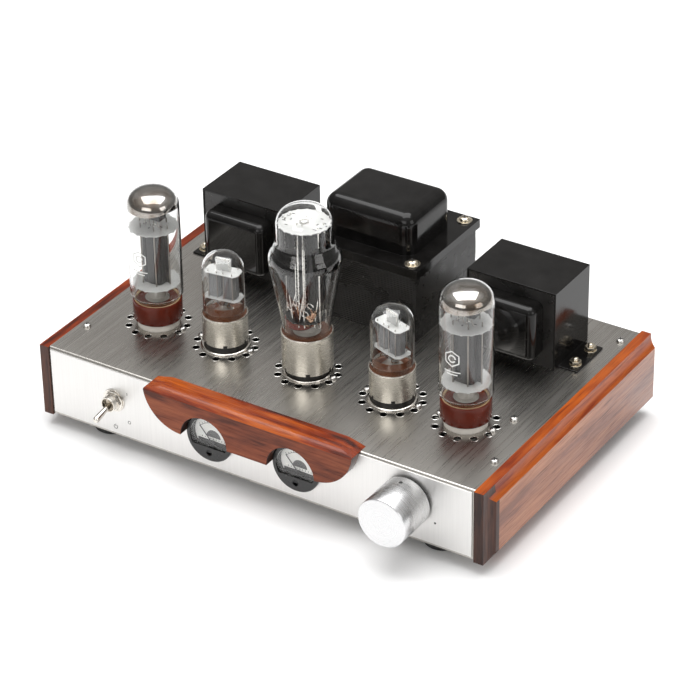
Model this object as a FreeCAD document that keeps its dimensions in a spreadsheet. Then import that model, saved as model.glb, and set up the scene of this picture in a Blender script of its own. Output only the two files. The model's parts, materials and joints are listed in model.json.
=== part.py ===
import FreeCAD, Part
import math
import os
import re

import Sketcher

# Stereo tube amplifier: a folded steel chassis between two wooden cheeks, five octal tubes in a row,
# three black transformers behind them, and a wooden bar over two small meters on the front.
#
# Millimetres. +X is to the right, +Y to the rear, +Z up. The origin is on the ground, under the middle
# of the whole object, from the knob's face to the ends of the speaker posts.

SIZES = [
    # steel chassis
    ("front_y", -104.7, "front plane of the steel box"),
    ("chassis_width", 334.0, "steel box, side to side"),
    ("chassis_depth", 222.4, "steel box, front to rear"),
    ("chassis_height", 53.0, "steel box, bottom edge to deck"),
    ("steel_gauge", 1.5, "thickness of the folded steel"),
    ("bend_radius", 1.8, "outer radius of the folds at the front and rear of the deck"),
    ("cover_gauge", 1.2, "thickness of the bottom cover"),
    ("slot_length", 34.0, "vent slot in the bottom cover"),
    ("slot_width", 5.0, "vent slot in the bottom cover"),
    ("foot_height", 10.0, "ground to the bottom of the steel"),
    ("foot_radius", 14.0, "rubber foot at its widest"),
    ("foot_x", 132.0, "feet from the middle plane"),
    ("foot_inset", 20.0, "feet from the front and rear of the steel"),
    # brushed plate on the front
    ("fascia_gauge", 1.0, "thickness of the brushed front plate"),
    ("fascia_inset", 1.5, "front plate below the deck and inside the ends"),
    ("fascia_lift", 2.0, "front plate above the bottom of the steel"),
    # wooden cheeks
    ("cheek_thickness", 10.5, "wooden cheek, inner to outer face"),
    ("cheek_front", 1.2, "cheek ahead of the steel"),
    ("cheek_rear", 2.3, "cheek behind the steel"),
    ("cheek_drop", 1.3, "cheek below the steel"),
    ("cove_radius", 14.0, "hollow moulding along the top and front outer edges"),
    ("cove_out", 10.6, "axis of the hollow, outside the cheek's face"),
    ("cove_down", 1.3, "axis of the hollow, below the edge"),
    ("heel_radius", 6.0, "hollow moulding along the bottom outer edge"),
    ("heel_out", 2.6, "axis of the bottom hollow, outside the cheek's face"),
    ("heel_up", 0.9, "axis of the bottom hollow, below the edge"),
    # wooden bar over the meters
    ("bar_half", 82.0, "half of the bar's length"),
    ("bar_depth", 10.0, "bar's face ahead of the steel"),
    ("bar_hook", 7.5, "bar's hook over the deck"),
    ("bar_rise", 3.2, "top of the bar above the deck"),
    ("bar_brow", 0.6, "edge between the bar's face and its bevel, below the deck"),
    ("bar_bottom", 25.5, "lower edge of the bar above the bottom of the steel"),
    ("bar_end_radius", 30.0, "rounding of the bar's lower ends"),
    ("bar_end_x", 52.0, "axis of that rounding"),
    ("bar_facet_x", 69.0, "where the end facets start"),
    ("bar_facet_drop", 4.4, "fall of the end facets, 5 mm beyond the bar's end"),
    ("arch_radius", 18.5, "arches around the meters"),
    # meters
    ("meter_x", 34.2, "meters from the middle plane"),
    ("meter_z", 25.9, "meter axis above the bottom of the steel"),
    ("meter_radius", 18.0, "meter flange"),
    ("meter_proud", 3.2, "meter flange ahead of the front plate"),
    ("meter_barrel", 15.8, "meter barrel behind the front plate"),
    ("meter_bore", 14.9, "inside of the meter"),
    ("meter_length", 18.0, "barrel behind the front of the steel"),
    ("chin_drop", 7.2, "upper edge of the opaque chin, below the meter's axis"),
    ("needle_drop", 5.2, "needle's pivot below the meter's axis"),
    ("needle_length", 14.5, "pivot to the tip of the needle"),
    ("needle_rest", 40.0, "needle's lean to the left of upright at rest"),
    # volume control
    ("knob_x", 118.3, "volume control from the middle plane"),
    ("knob_z", 30.0, "volume axis above the bottom of the steel"),
    ("knob_radius", 17.7, "knob"),
    ("knob_reach", 33.0, "knob's face ahead of the steel"),
    ("knob_gap", 2.8, "rear of the knob ahead of the steel"),
    ("shaft_radius", 3.0, "potentiometer shaft"),
    ("bush_radius", 3.75, "threaded bush of the potentiometer"),
    ("pot_radius", 12.5, "potentiometer can"),
    ("pot_length", 19.0, "potentiometer can"),
    # power switch
    ("switch_x", -113.4, "power switch from the middle plane"),
    ("switch_z", 28.2, "switch axis above the bottom of the steel"),
    ("collar_radius", 5.6, "threaded collar of the switch"),
    ("collar_reach", 8.6, "collar ahead of the steel"),
    ("lever_length", 24.0, "pivot to the tip of the lever"),
    ("lever_radius", 2.3, "lever at its tip"),
    ("lever_tilt", 11.0, "lever below level when off"),
    # tubes and sockets
    ("tube_row", 65.2, "row of tubes behind the front of the steel"),
    ("power_x", 122.2, "power tubes from the middle plane"),
    ("driver_x", 66.3, "driver tubes from the middle plane"),
    ("socket_rise", 4.8, "ceramic socket above the deck"),
    ("socket_radius", 14.6, "ceramic boss through the deck"),
    ("socket_depth", 14.0, "ceramic body below the deck"),
    ("vent_ring", 20.6, "centres of the vent holes around a socket"),
    ("vent_radius", 2.5, "vent hole"),
    ("ear_reach", 19.8, "socket screws from the socket's axis"),
    ("pin_circle", 8.73, "octal base: pins from the axis"),
    ("pin_radius", 1.18, "octal base: pin"),
    ("pin_length", 11.0, "octal base: pin"),
    ("key_radius", 4.0, "octal base: locating key"),
    ("glass_wall", 1.2, "thickness of a bulb"),
    ("power_base_radius", 17.0, "power tube base"),
    ("power_base_height", 15.6, "power tube base"),
    ("power_glass_radius", 18.2, "power tube bulb"),
    ("power_top", 104.0, "top of a power tube above the deck"),
    ("power_dome_round", 12.4, "rounding of its dome"),
    ("driver_base_radius", 15.6, "driver tube base"),
    ("driver_base_height", 21.0, "driver tube base"),
    ("driver_glass_radius", 14.5, "driver tube bulb"),
    ("driver_top", 71.0, "top of a driver tube above the deck"),
    ("driver_dome_round", 12.9, "rounding of its dome"),
    ("rectifier_base_radius", 17.4, "rectifier base"),
    ("rectifier_base_height", 27.8, "rectifier base"),
    ("rectifier_bulb_radius", 25.0, "rectifier bulb at its widest"),
    ("rectifier_bulb_height", 87.2, "widest place above the deck"),
    ("rectifier_neck_radius", 19.1, "upper part of the rectifier bulb"),
    ("rectifier_neck_height", 98.6, "foot of that upper part above the deck"),
    ("rectifier_top", 125.6, "top of the rectifier above the deck"),
    # transformers
    ("transformer_row", 172.2, "middle of the transformers behind the front of the steel"),
    ("mains_width", 91.0, "cover of the mains transformer, side to side"),
    ("mains_depth", 83.4, "cover of the mains transformer, front to rear"),
    ("mains_flange", 57.0, "top of that cover's rim above the deck"),
    ("mains_skirt", 6.5, "turned-down rim of the cover"),
    ("mains_step", 2.0, "laminations inside the rim"),
    ("dome_width", 71.0, "dome of the mains transformer, side to side"),
    ("dome_depth", 54.0, "dome of the mains transformer, front to rear"),
    ("dome_left", 2.4, "dome to the left of the transformer's middle"),
    ("dome_ahead", 1.6, "dome ahead of the transformer's middle"),
    ("dome_top", 86.8, "top of the dome above the deck"),
    ("dome_round", 9.0, "rounding of the dome"),
    ("mains_bolt_x", 37.5, "bolts of the mains transformer from its middle"),
    ("mains_bolt_y", 34.5, "bolts of the mains transformer from its middle"),
    ("output_x", 107.1, "output transformers from the middle plane"),
    ("output_width", 67.8, "output transformer frame, side to side"),
    ("output_depth", 46.5, "output transformer frame, front to rear"),
    ("output_top", 59.0, "top of an output transformer above the deck"),
    ("frame_gauge", 1.2, "sheet of the output transformer's frame"),
    ("bell_width", 49.4, "end bell, side to side"),
    ("bell_bottom", 9.0, "end bell above the deck"),
    ("bell_top", 50.3, "end bell above the deck"),
    ("bell_round", 5.5, "rounding of the end bells"),
    ("bell_reach", 15.0, "end bell ahead of the frame"),
    ("ear_width", 14.5, "foot of the frame beyond its side"),
    ("ear_depth", 36.0, "foot of the frame, front to rear"),
    ("ear_bolt_x", 42.9, "foot bolts from the transformer's middle"),
    ("ear_bolt_y", 10.5, "foot bolts from the transformer's middle"),
    # rear panel
    ("inlet_x", 112.0, "mains inlet from the middle plane"),
    ("inlet_z", 26.5, "middle of the mains inlet above the bottom of the steel"),
    ("inlet_width", 52.0, "flange of the mains inlet"),
    ("inlet_height", 36.0, "flange of the mains inlet"),
    ("inlet_flange", 3.0, "flange of the mains inlet, thickness"),
    ("jack_x", -118.0, "input jacks from the middle plane"),
    ("jack_pitch", 22.0, "distance between the input jacks"),
    ("jack_radius", 4.15, "sleeve of an input jack"),
    ("jack_reach", 10.5, "input jack behind the steel"),
    ("post_z", 26.5, "speaker posts above the bottom of the steel"),
    ("post_reach", 20.0, "speaker post behind the steel"),
    ("post_bore", 2.0, "socket for a 4 mm plug"),
    ("post_radius", 3.5, "metal post"),
    ("cap_radius", 6.6, "turning cap of a speaker post"),
    # inside
    ("board_width", 190.0, "circuit board"),
    ("board_depth", 96.0, "circuit board"),
    ("board_gauge", 1.6, "circuit board"),
    ("board_lift", 17.0, "circuit board above the bottom of the steel"),
    ("board_y", 98.0, "front of the circuit board behind the front of the steel"),
    ("can_radius", 12.5, "filter capacitor"),
    ("can_height", 26.0, "filter capacitor"),
]

DECK = "(foot_height + chassis_height)"
UNDER_DECK = "(foot_height + chassis_height - steel_gauge)"
FLOOR = "foot_height"
REAR = "(front_y + chassis_depth)"
FACE = "(front_y - fascia_gauge)"
TUBE_Y = "(front_y + tube_row)"
TRANSFORMER_Y = "(front_y + transformer_row)"
SIDES = (("left", -1), ("right", 1))
POST_X = (-46.0, -24.0, 24.0, 46.0)
AXIS_TURN = {
    "z": FreeCAD.Rotation(),
    "y": FreeCAD.Rotation(FreeCAD.Vector(1, 0, 0), -90),
    "-y": FreeCAD.Rotation(FreeCAD.Vector(1, 0, 0), 90),
    "x": FreeCAD.Rotation(FreeCAD.Vector(0, 1, 0), 90),
}

doc = FreeCAD.newDocument("tube_amplifier")
sheet = doc.addObject("Spreadsheet::Sheet", "Sizes")
for row, (alias, value, note) in enumerate(SIZES, start=1):
    sheet.set(f"A{row}", alias)
    sheet.set(f"B{row}", str(value))
    sheet.set(f"C{row}", note)
    sheet.setAlias(f"B{row}", alias)
doc.recompute()
ALIASES = {alias for alias, value, note in SIZES}


# ---------------------------------------------------------------- building blocks

def formula(text):
    """Expression for setExpression from a formula that names the sheet's cells."""
    return re.sub(r"[a-z]+(?:_[a-z]+)*", lambda word: in_sheet(word.group(0)), str(text))


def in_sheet(word):
    return f"Sizes.{word}" if word in ALIASES else word


def bind(part, **formulas):
    for name, text in formulas.items():
        part.setExpression(name, formula(text))


def place(part, at, turn=FreeCAD.Rotation()):
    part.Placement = FreeCAD.Placement(FreeCAD.Vector(), turn)
    for axis, text in zip("xyz", at):
        part.setExpression(f"Placement.Base.{axis}", formula(text))


def block(name, size, corner, turn=FreeCAD.Rotation()):
    """Rectangular block from its lowest corner."""
    part = doc.addObject("Part::Box", name)
    bind(part, Length=size[0], Width=size[1], Height=size[2])
    place(part, corner, turn)
    return part


def slab(name, size, middle):
    """Rectangular block from the middle of its underside."""
    corner = (f"{middle[0]} - ({size[0]}) / 2", f"{middle[1]} - ({size[1]}) / 2", middle[2])
    return block(name, size, corner)


def rod(name, radius, length, start, axis="z"):
    part = doc.addObject("Part::Cylinder", name)
    bind(part, Radius=radius, Height=length)
    place(part, start, AXIS_TURN[axis])
    return part


def gather(kind, name, parts):
    """Boolean or group of several parts, as the named kind of document object."""
    whole = doc.addObject(kind, name)
    if kind == "Part::Compound":
        whole.Links = parts
    else:
        whole.Shapes = parts
    return whole


def group(name, parts):
    return gather("Part::Compound", name, parts)


def fuse(name, parts):
    return gather("Part::MultiFuse", name, parts)


def common(name, parts):
    return gather("Part::MultiCommon", name, parts)


def cut(name, base, tools):
    """The base without its tools."""
    tool = tools[0] if len(tools) == 1 else fuse(name + "_tools", tools)
    part = doc.addObject("Part::Cut", name)
    part.Base = base
    part.Tool = tool
    return part


def origin_plane(body, role):
    return next(item for item in body.Origin.OriginFeatures if item.Role == role)


def sketch_outline(body, name, role, outline):
    """Closed sketch of straight lines whose corners are bound to the sheet."""
    sketch = body.newObject("Sketcher::SketchObject", name)
    sketch.AttachmentSupport = [(origin_plane(body, role), "")]
    sketch.MapMode = "FlatFace"
    count = len(outline)
    for index in range(count):
        angle = 2 * math.pi * index / count
        following = 2 * math.pi * (index + 1) / count
        start = FreeCAD.Vector(math.cos(angle), math.sin(angle), 0)
        end = FreeCAD.Vector(math.cos(following), math.sin(following), 0)
        sketch.addGeometry(Part.LineSegment(start, end), False)
    for index, (across, up) in enumerate(outline):
        sketch.addConstraint(Sketcher.Constraint("Coincident", index - 1 if index else count - 1, 2, index, 1))
        for kind, text in (("DistanceX", across), ("DistanceY", up)):
            number = sketch.addConstraint(Sketcher.Constraint(kind, -1, 1, index, 1, 1.0))
            sketch.setExpression(f"Constraints[{number}]", formula(text))
    return sketch


def turned(name, outline, at, axis="z"):
    """Body turned about its own Z from (radius, height) corners, then laid along an axis."""
    body = doc.addObject("PartDesign::Body", name)
    sketch = sketch_outline(body, name + "_outline", "XZ_Plane", outline)
    turn = body.newObject("PartDesign::Revolution", name + "_turn")
    turn.Profile = sketch
    turn.ReferenceAxis = (sketch, ["V_Axis"])
    turn.Angle = 360
    body.Tip = turn
    place(body, at, AXIS_TURN[axis])
    return body


def padded(name, role, outline, length, at, midplane=True):
    """Body made by padding an outline that is drawn on one of its origin planes."""
    body = doc.addObject("PartDesign::Body", name)
    sketch = sketch_outline(body, name + "_outline", role, outline)
    pad = body.newObject("PartDesign::Pad", name + "_pad")
    pad.Profile = sketch
    pad.Midplane = midplane
    pad.setExpression("Length", formula(length))
    body.Tip = pad
    place(body, at)
    return body


def round_edges(body, name, radius, wanted):
    """Round the edges of a body's tip that the test picks."""
    doc.recompute()
    base = body.Tip
    names = [f"Edge{n}" for n, edge in enumerate(base.Shape.Edges, start=1) if wanted(edge)]
    fillet = body.newObject("PartDesign::Fillet", name)
    fillet.Base = (base, names)
    fillet.setExpression("Radius", formula(radius))
    body.Tip = fillet
    return fillet


def size(alias):
    return float(sheet.get(alias))


def ring_angles(count, first):
    return [math.radians(first + 360.0 * index / count) for index in range(count)]


# ---------------------------------------------------------------- chassis

def socket_places():
    """Name, X and family of the five tubes, from left to right."""
    return (
        ("power_tube_left", "-power_x", "power"),
        ("driver_tube_left", "-driver_x", "driver"),
        ("rectifier_tube", "0", "rectifier"),
        ("driver_tube_right", "driver_x", "driver"),
        ("power_tube_right", "power_x", "power"),
    )


def deck_holes():
    """Socket holes, vent rings and screw holes through the deck."""
    holes = []
    for name, x, family in socket_places():
        middle = (x, TUBE_Y, UNDER_DECK + " - 1")
        holes.append(rod(f"{name}_hole", "socket_radius + 0.4", "steel_gauge + 2", middle))
        for number, angle in enumerate(ring_angles(12, 15)):
            at = (
                f"{x} + vent_ring * {math.cos(angle):.5f}",
                f"{TUBE_Y} + vent_ring * {math.sin(angle):.5f}",
                UNDER_DECK + " - 1",
            )
            holes.append(rod(f"{name}_vent_{number}", "vent_radius", "steel_gauge + 2", at))
        for side, sign in SIDES:
            at = (f"{x} + {sign} * ear_reach", TUBE_Y, UNDER_DECK + " - 1")
            holes.append(rod(f"{name}_screw_hole_{side}", "1.6", "steel_gauge + 2", at))
    return holes


def chassis_shell():
    blank = padded(
        "shell_blank", "YZ_Plane",
        [("front_y", FLOOR), (REAR, FLOOR), (REAR, DECK), ("front_y", DECK)],
        "chassis_width", ("0", "0", "0"),
    )
    deck_z = size("foot_height") + size("chassis_height")
    round_edges(
        blank, "shell_bends", "bend_radius",
        lambda edge: edge.BoundBox.ZMin > deck_z - 0.1 and edge.BoundBox.XLength > 1,
    )
    inside = slab(
        "shell_inside",
        ("chassis_width - 2 * steel_gauge", "chassis_depth - 2 * steel_gauge", "chassis_height"),
        ("0", "front_y + chassis_depth / 2", "foot_height - steel_gauge"),
    )
    holes = deck_holes()
    for side, sign in SIDES:
        at = (f"{sign} * meter_x", "front_y - 1", "foot_height + meter_z")
        holes.append(rod(f"shell_meter_{side}", "meter_barrel + 0.4", "steel_gauge + 2", at, "y"))
        for place_name, x, y in mount_bolt_places(side, sign):
            at = (x, y, UNDER_DECK + " - 1")
            holes.append(rod(f"shell_{place_name}", "2.2", "steel_gauge + 2", at))
        for number, (x, y) in enumerate(deck_screw_places(sign)):
            at = (x, y, UNDER_DECK + " - 1")
            holes.append(rod(f"shell_deck_{side}_{number}", "1.6", "steel_gauge + 2", at))
    for number, (x, y) in enumerate(mains_bolt_places()):
        holes.append(rod(f"shell_mains_{number}", "2.2", "steel_gauge + 2", (x, y, UNDER_DECK + " - 1")))
    holes.append(rod("shell_pot", "bush_radius + 0.1", "steel_gauge + 2",
                     ("knob_x", "front_y - 1", "foot_height + knob_z"), "y"))
    holes.append(rod("shell_switch", "collar_radius + 0.1", "steel_gauge + 2",
                     ("switch_x", "front_y - 1", "foot_height + switch_z"), "y"))
    holes.extend(rear_holes())
    return cut("chassis_shell", blank, [inside] + holes)


def rear_holes():
    start = REAR + " - steel_gauge - 1"
    holes = [block(
        "rear_inlet_hole", ("inlet_width - 22", "steel_gauge + 2", "inlet_height - 4"),
        ("inlet_x - (inlet_width - 22) / 2", start, "foot_height + inlet_z - (inlet_height - 4) / 2"),
    )]
    for number in range(2):
        x = f"jack_x + {number} * jack_pitch"
        holes.append(rod(f"rear_jack_hole_{number}", "jack_radius", "steel_gauge + 2",
                         (x, start, "foot_height + post_z"), "y"))
    for number, x in enumerate(POST_X):
        holes.append(rod(f"rear_post_hole_{number}", "post_radius", "steel_gauge + 2",
                         (x, start, "foot_height + post_z"), "y"))
    return holes


def mount_bolt_places(side, sign):
    """Foot bolts of one output transformer."""
    places = []
    for across, outward in (("inner", -1), ("outer", 1)):
        for along, back in (("front", -1), ("rear", 1)):
            x = f"{sign} * (output_x + {outward} * ear_bolt_x)"
            y = f"{TRANSFORMER_Y} + {back} * ear_bolt_y"
            places.append((f"output_{side}_{across}_{along}", x, y))
    return places


def mains_bolt_places():
    return [
        (f"{across} * mains_bolt_x", f"{TRANSFORMER_Y} + {along} * mains_bolt_y")
        for across in (-1, 1) for along in (-1, 1)
    ]


def deck_screw_places(sign):
    """Screws that hold the cheeks' brackets and the board's brackets under the deck."""
    return (
        (f"{sign} * 161", "front_y + 35"),
        (f"{sign} * 161", "front_y + 205"),
        (f"{sign} * 147.4", "front_y + 84"),
    )


def bottom_cover():
    plate = slab(
        "cover_plate",
        ("chassis_width - 2 * steel_gauge", "chassis_depth - 2 * steel_gauge", "cover_gauge"),
        ("0", "front_y + chassis_depth / 2", FLOOR),
    )
    tools = []
    for row in range(2):
        for number in range(9):
            middle = (f"{(number - 4) * 14}", f"front_y + 68 + {row} * 46", "foot_height - 1")
            tools.append(slab(f"cover_slot_{row}_{number}", ("slot_width", "slot_length", "4"), middle))
    for number, (x, y) in enumerate(foot_places()):
        tools.append(rod(f"cover_foot_hole_{number}", "2.1", "4", (x, y, "foot_height - 1")))
    return cut("bottom_cover", plate, tools)


def foot_places():
    return [
        (f"{across} * foot_x", f"front_y + chassis_depth / 2 + {along} * (chassis_depth / 2 - foot_inset)")
        for across in (-1, 1) for along in (-1, 1)
    ]


def feet():
    """Four tapered rubber feet, each with a recess for its screw."""
    outline = [
        ("2.1", "5.2"), ("5.4", "5.2"), ("5.4", "0"), ("foot_radius - 2.4", "0"),
        ("foot_radius - 1.2", "1.2"), ("foot_radius", "foot_height"), ("2.1", "foot_height"),
    ]
    rubbers = [turned(f"foot_{n}", outline, (x, y, "0")) for n, (x, y) in enumerate(foot_places())]
    return group("feet", rubbers)


def foot_screws():
    outline = [
        ("0", "2.4"), ("4.2", "2.4"), ("4.2", "5.2"), ("2.0", "5.2"), ("2.0", "foot_height + cover_gauge"),
        ("3.6", "foot_height + cover_gauge"), ("3.6", "foot_height + cover_gauge + 3.2"),
        ("0", "foot_height + cover_gauge + 3.2"),
    ]
    screws = [turned(f"foot_screw_{n}", outline, (x, y, "0")) for n, (x, y) in enumerate(foot_places())]
    return group("foot_screws", screws)


def pan_screw(name, head, shank, length, at, axis="z"):
    """Round-headed screw seated at the given point, with its shank back along the axis."""
    outline = [
        ("0", f"-({length})"), (shank, f"-({length})"), (shank, "0"), (head, "0"),
        (head, "0.9"), (f"({head}) * 0.62", "1.9"), ("0", "2.1"),
    ]
    return turned(name, outline, at, axis)


def deck_screws():
    screws = []
    for side, sign in SIDES:
        for number, (x, y) in enumerate(deck_screw_places(sign)):
            screws.append(pan_screw(f"deck_screw_{side}_{number}", "3.0", "1.5", "7", (x, y, DECK)))
    return group("deck_screws", screws)


def front_fascia():
    plate = block(
        "fascia_plate",
        ("chassis_width - 2 * fascia_inset", "fascia_gauge", "chassis_height - fascia_inset - fascia_lift"),
        ("fascia_inset - chassis_width / 2", FACE, "foot_height + fascia_lift"),
    )
    tools = []
    for side, sign in SIDES:
        at = (f"{sign} * meter_x", "front_y - 3", "foot_height + meter_z")
        tools.append(rod(f"fascia_meter_{side}", "meter_barrel + 0.4", "6", at, "y"))
    tools.append(rod("fascia_pot", "bush_radius + 0.1", "6",
                     ("knob_x", "front_y - 3", "foot_height + knob_z"), "y"))
    tools.append(rod("fascia_switch", "collar_radius + 0.1", "6",
                     ("switch_x", "front_y - 3", "foot_height + switch_z"), "y"))
    return cut("front_fascia", plate, tools)


# ---------------------------------------------------------------- woodwork

def side_panels():
    """Two wooden cheeks; a hollow moulding runs along the top and the front of the outer face."""
    for side, sign in SIDES:
        height = "chassis_height + cheek_drop"
        plank = slab(
            f"cheek_plank_{side}",
            ("cheek_thickness", "chassis_depth + cheek_front + cheek_rear", height),
            (f"{sign} * (chassis_width + cheek_thickness) / 2",
             "front_y + (chassis_depth + cheek_rear - cheek_front) / 2", "foot_height - cheek_drop"),
        )
        outer = f"{sign} * (chassis_width / 2 + cheek_thickness + "
        reach = "chassis_depth + 40"
        tools = [
            rod(f"cheek_top_cove_{side}", "cove_radius", reach,
                (outer + "cove_out)", "front_y - 20", DECK + " - cove_down"), "y"),
            rod(f"cheek_front_cove_{side}", "cove_radius", "chassis_height + 20",
                (outer + "cove_out)", "front_y - cheek_front + cove_down", "foot_height - 10")),
            rod(f"cheek_heel_{side}", "heel_radius", reach,
                (outer + "heel_out)", "front_y - 20", "foot_height - cheek_drop - heel_up"), "y"),
        ]
        cut(f"side_panel_{side}", plank, tools)


def front_bar():
    """Bar with a bevelled brow that hooks over the deck; its two arches clear the meters."""
    face = "front_y - bar_depth"
    back = "front_y - fascia_gauge"
    hook = "front_y + bar_hook"
    bottom = "foot_height + bar_bottom"
    top = DECK + " + bar_rise"
    section = padded(
        "bar_section", "YZ_Plane",
        [(back, bottom), (back, DECK), (hook, DECK), (hook, top), ("front_y - 1.5", top),
         ("front_y - bar_depth * 0.62", DECK + " + bar_rise * 0.72"),
         (face, DECK + " - bar_brow"), (face, bottom)],
        "2 * bar_half", ("0", "0", "0"),
    )
    depth = "bar_depth + bar_hook + 4"
    start = face + " - 2"
    ends = [block("bar_middle", ("2 * bar_end_x", depth, "chassis_height + 40"), ("-bar_end_x", start, "0"))]
    facets = []
    for side, sign in SIDES:
        at = (f"{sign} * bar_end_x", start, DECK + " + bar_rise")
        ends.append(rod(f"bar_end_{side}", "bar_end_radius", depth, at, "y"))
        facets.append(padded(
            f"bar_facet_{side}", "XZ_Plane",
            [(f"{sign} * bar_facet_x", top), (f"{sign} * (bar_half + 5)", top),
             (f"{sign} * (bar_half + 5)", top + " - bar_facet_drop")],
            "chassis_depth + 60", ("0", "0", "0"),
        ))
    outline = fuse("bar_outline", ends)
    arches = [
        rod(f"bar_arch_{side}", "arch_radius", depth, (f"{sign} * meter_x", start, "foot_height + meter_z"), "y")
        for side, sign in SIDES
    ]
    whole = common("bar_blank", [section, outline])
    return cut("front_bar", whole, arches + facets)


# ---------------------------------------------------------------- front controls

def meters():
    """Two moving-coil meters: cup with an opaque chin, dial, window, needle and zero screw."""
    cases, dials, windows, screws = [], [], [], []
    flange = "(fascia_gauge + meter_proud)"
    for side, sign in SIDES:
        x = f"{sign} * meter_x"
        z = "foot_height + meter_z"
        cup = turned(
            f"meter_cup_{side}",
            [("0", "meter_length"), ("0", "meter_length - 1.5"), ("meter_bore", "meter_length - 1.5"),
             ("meter_bore", f"-{flange}"), ("meter_radius - 0.8", f"-{flange}"),
             ("meter_radius", f"0.8 - {flange}"), ("meter_radius", "-fascia_gauge"),
             ("meter_barrel", "-fascia_gauge"), ("meter_barrel", "meter_length")],
            (x, "front_y", z), "y",
        )
        chin_disc = rod(f"meter_chin_disc_{side}", "meter_bore + 0.2", f"{flange} + 3.4",
                        (x, f"front_y - {flange}", z), "y")
        chin_block = slab(f"meter_chin_block_{side}", ("2 * meter_radius", "30", "meter_radius"),
                          (x, "front_y", f"{z} - chin_drop - meter_radius"))
        screw_hole = rod(f"meter_screw_hole_{side}", "2.3", "1.4",
                         (x, f"front_y - {flange} - 0.2", f"{z} - chin_drop - 4.4"), "y")
        chin = common(f"meter_chin_{side}", [chin_disc, chin_block])
        body = fuse(f"meter_body_{side}", [cup, chin])
        cases.append(cut(f"meter_case_{side}", body, [screw_hole]))
        dial_disc = rod(f"meter_dial_disc_{side}", "meter_bore", "1", (x, "front_y + 2.2", z), "y")
        dial_block = slab(f"meter_dial_block_{side}", ("2 * meter_radius", "30", "2 * meter_radius"),
                          (x, "front_y", f"{z} - chin_drop"))
        dials.append(common(f"meter_dial_{side}", [dial_disc, dial_block]))
        pane_disc = rod(f"meter_pane_disc_{side}", "meter_bore", "1.1",
                        (x, f"front_y - {flange} + 0.9", z), "y")
        windows.append(common(f"meter_window_{side}", [pane_disc, dial_block]))
        screw = rod(f"meter_screw_blank_{side}", "2.2", "1.3",
                    (x, f"front_y - {flange} - 0.1", f"{z} - chin_drop - 4.4"), "y")
        slot = slab(f"meter_screw_slot_{side}", ("3.6", "1", "0.7"),
                    (x, f"front_y - {flange}", f"{z} - chin_drop - 4.75"))
        screws.append(cut(f"meter_screw_{side}", screw, [slot]))
        needle(side, x, z)
    group("meter_cases", cases)
    group("meter_dials", dials)
    group("meter_windows", windows)
    group("meter_screws", screws)


def needle(side, x, z):
    """Needle with its hub, swung to the rest stop; the hub turns behind the chin."""
    hub = rod(f"needle_hub_{side}", "1.6", "1.2", (x, "front_y - 0.6", f"{z} - needle_drop"), "y")
    blade = block(f"needle_blade_{side}", ("0.6", "0.4", "needle_length"), ("-0.3", "0", "0"))
    rest = FreeCAD.Rotation(FreeCAD.Vector(0, 1, 0), -size("needle_rest"))
    lean = math.radians(size("needle_rest"))
    place(blade, (f"{x} - {0.3 * math.cos(lean):.4f}", "front_y - 0.2",
                  f"{z} - needle_drop - {0.3 * math.sin(lean):.4f}"), rest)
    fuse(f"meter_needle_{side}", [hub, blade])


def volume_control():
    z = "foot_height + knob_z"
    bore = "shaft_radius + 0.02"
    turned(
        "volume_knob",
        [(bore, "knob_gap"), (bore, "knob_reach - 4"), ("0", "knob_reach - 4"), ("0", "knob_reach"),
         ("knob_radius - 0.7", "knob_reach"), ("knob_radius", "knob_reach - 0.7"),
         ("knob_radius", "knob_gap + 0.5"),
         ("knob_radius - 0.5", "knob_gap"), ("8.2", "knob_gap"), ("8.2", "knob_gap + 5"),
         (bore, "knob_gap + 5")],
        ("knob_x", "front_y", z), "-y",
    )
    rod("volume_shaft", "shaft_radius", "knob_reach - 4.2 + 6", ("knob_x", "front_y + 6", z), "-y")
    turned(
        "knob_washer",
        [("8.4", "fascia_gauge"), ("knob_radius - 1.2", "fascia_gauge"),
         ("knob_radius - 1.2", "knob_gap - 0.5"), ("8.4", "knob_gap - 0.5")],
        ("knob_x", "front_y", z), "-y",
    )
    turned(
        "potentiometer",
        [("shaft_radius + 0.3", "fascia_gauge + 4.2"), ("bush_radius", "fascia_gauge + 4.2"),
         ("bush_radius", "-steel_gauge"), ("pot_radius", "-steel_gauge"),
         ("pot_radius", "-steel_gauge - pot_length"),
         ("0", "-steel_gauge - pot_length"), ("0", "-7"), ("shaft_radius + 0.3", "-7")],
        ("knob_x", "front_y", z), "-y",
    )


def power_switch():
    z = "foot_height + switch_z"
    frame = slab("switch_frame", ("13.5", "26", "22"), ("switch_x", "front_y + steel_gauge + 13", f"{z} - 11"))
    collar = rod("switch_collar", "collar_radius", "collar_reach + steel_gauge + 4",
                 ("switch_x", "front_y + steel_gauge + 4", z), "-y")
    mouth = doc.addObject("Part::Cone", "switch_mouth")
    bind(mouth, Radius1="3.3", Radius2="4.7", Height="collar_reach + 0.1")
    place(mouth, ("switch_x", "front_y", z), AXIS_TURN["-y"])
    pocket = rod("switch_pocket", "3.3", "3.6", ("switch_x", "front_y + 3.6", z), "-y")
    cut("switch_body", fuse("switch_blank", [frame, collar]), [mouth, pocket])

    lever = turned(
        "lever_blank",
        [("0", "-2.6"), ("1.8", "-2.2"), ("2.8", "-0.9"), ("2.8", "0.9"), ("1.75", "2.6"), ("1.75", "6"),
         ("lever_radius", "lever_length - 2"), ("lever_radius - 0.5", "lever_length - 0.5"),
         ("lever_radius - 1.3", "lever_length"), ("0", "lever_length")],
        ("switch_x", "front_y", z), "-y",
    )
    tilt = FreeCAD.Rotation(FreeCAD.Vector(1, 0, 0), 90 + size("lever_tilt"))
    place(lever, ("switch_x", "front_y", z), tilt)
    group("toggle_lever", [lever])


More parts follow.
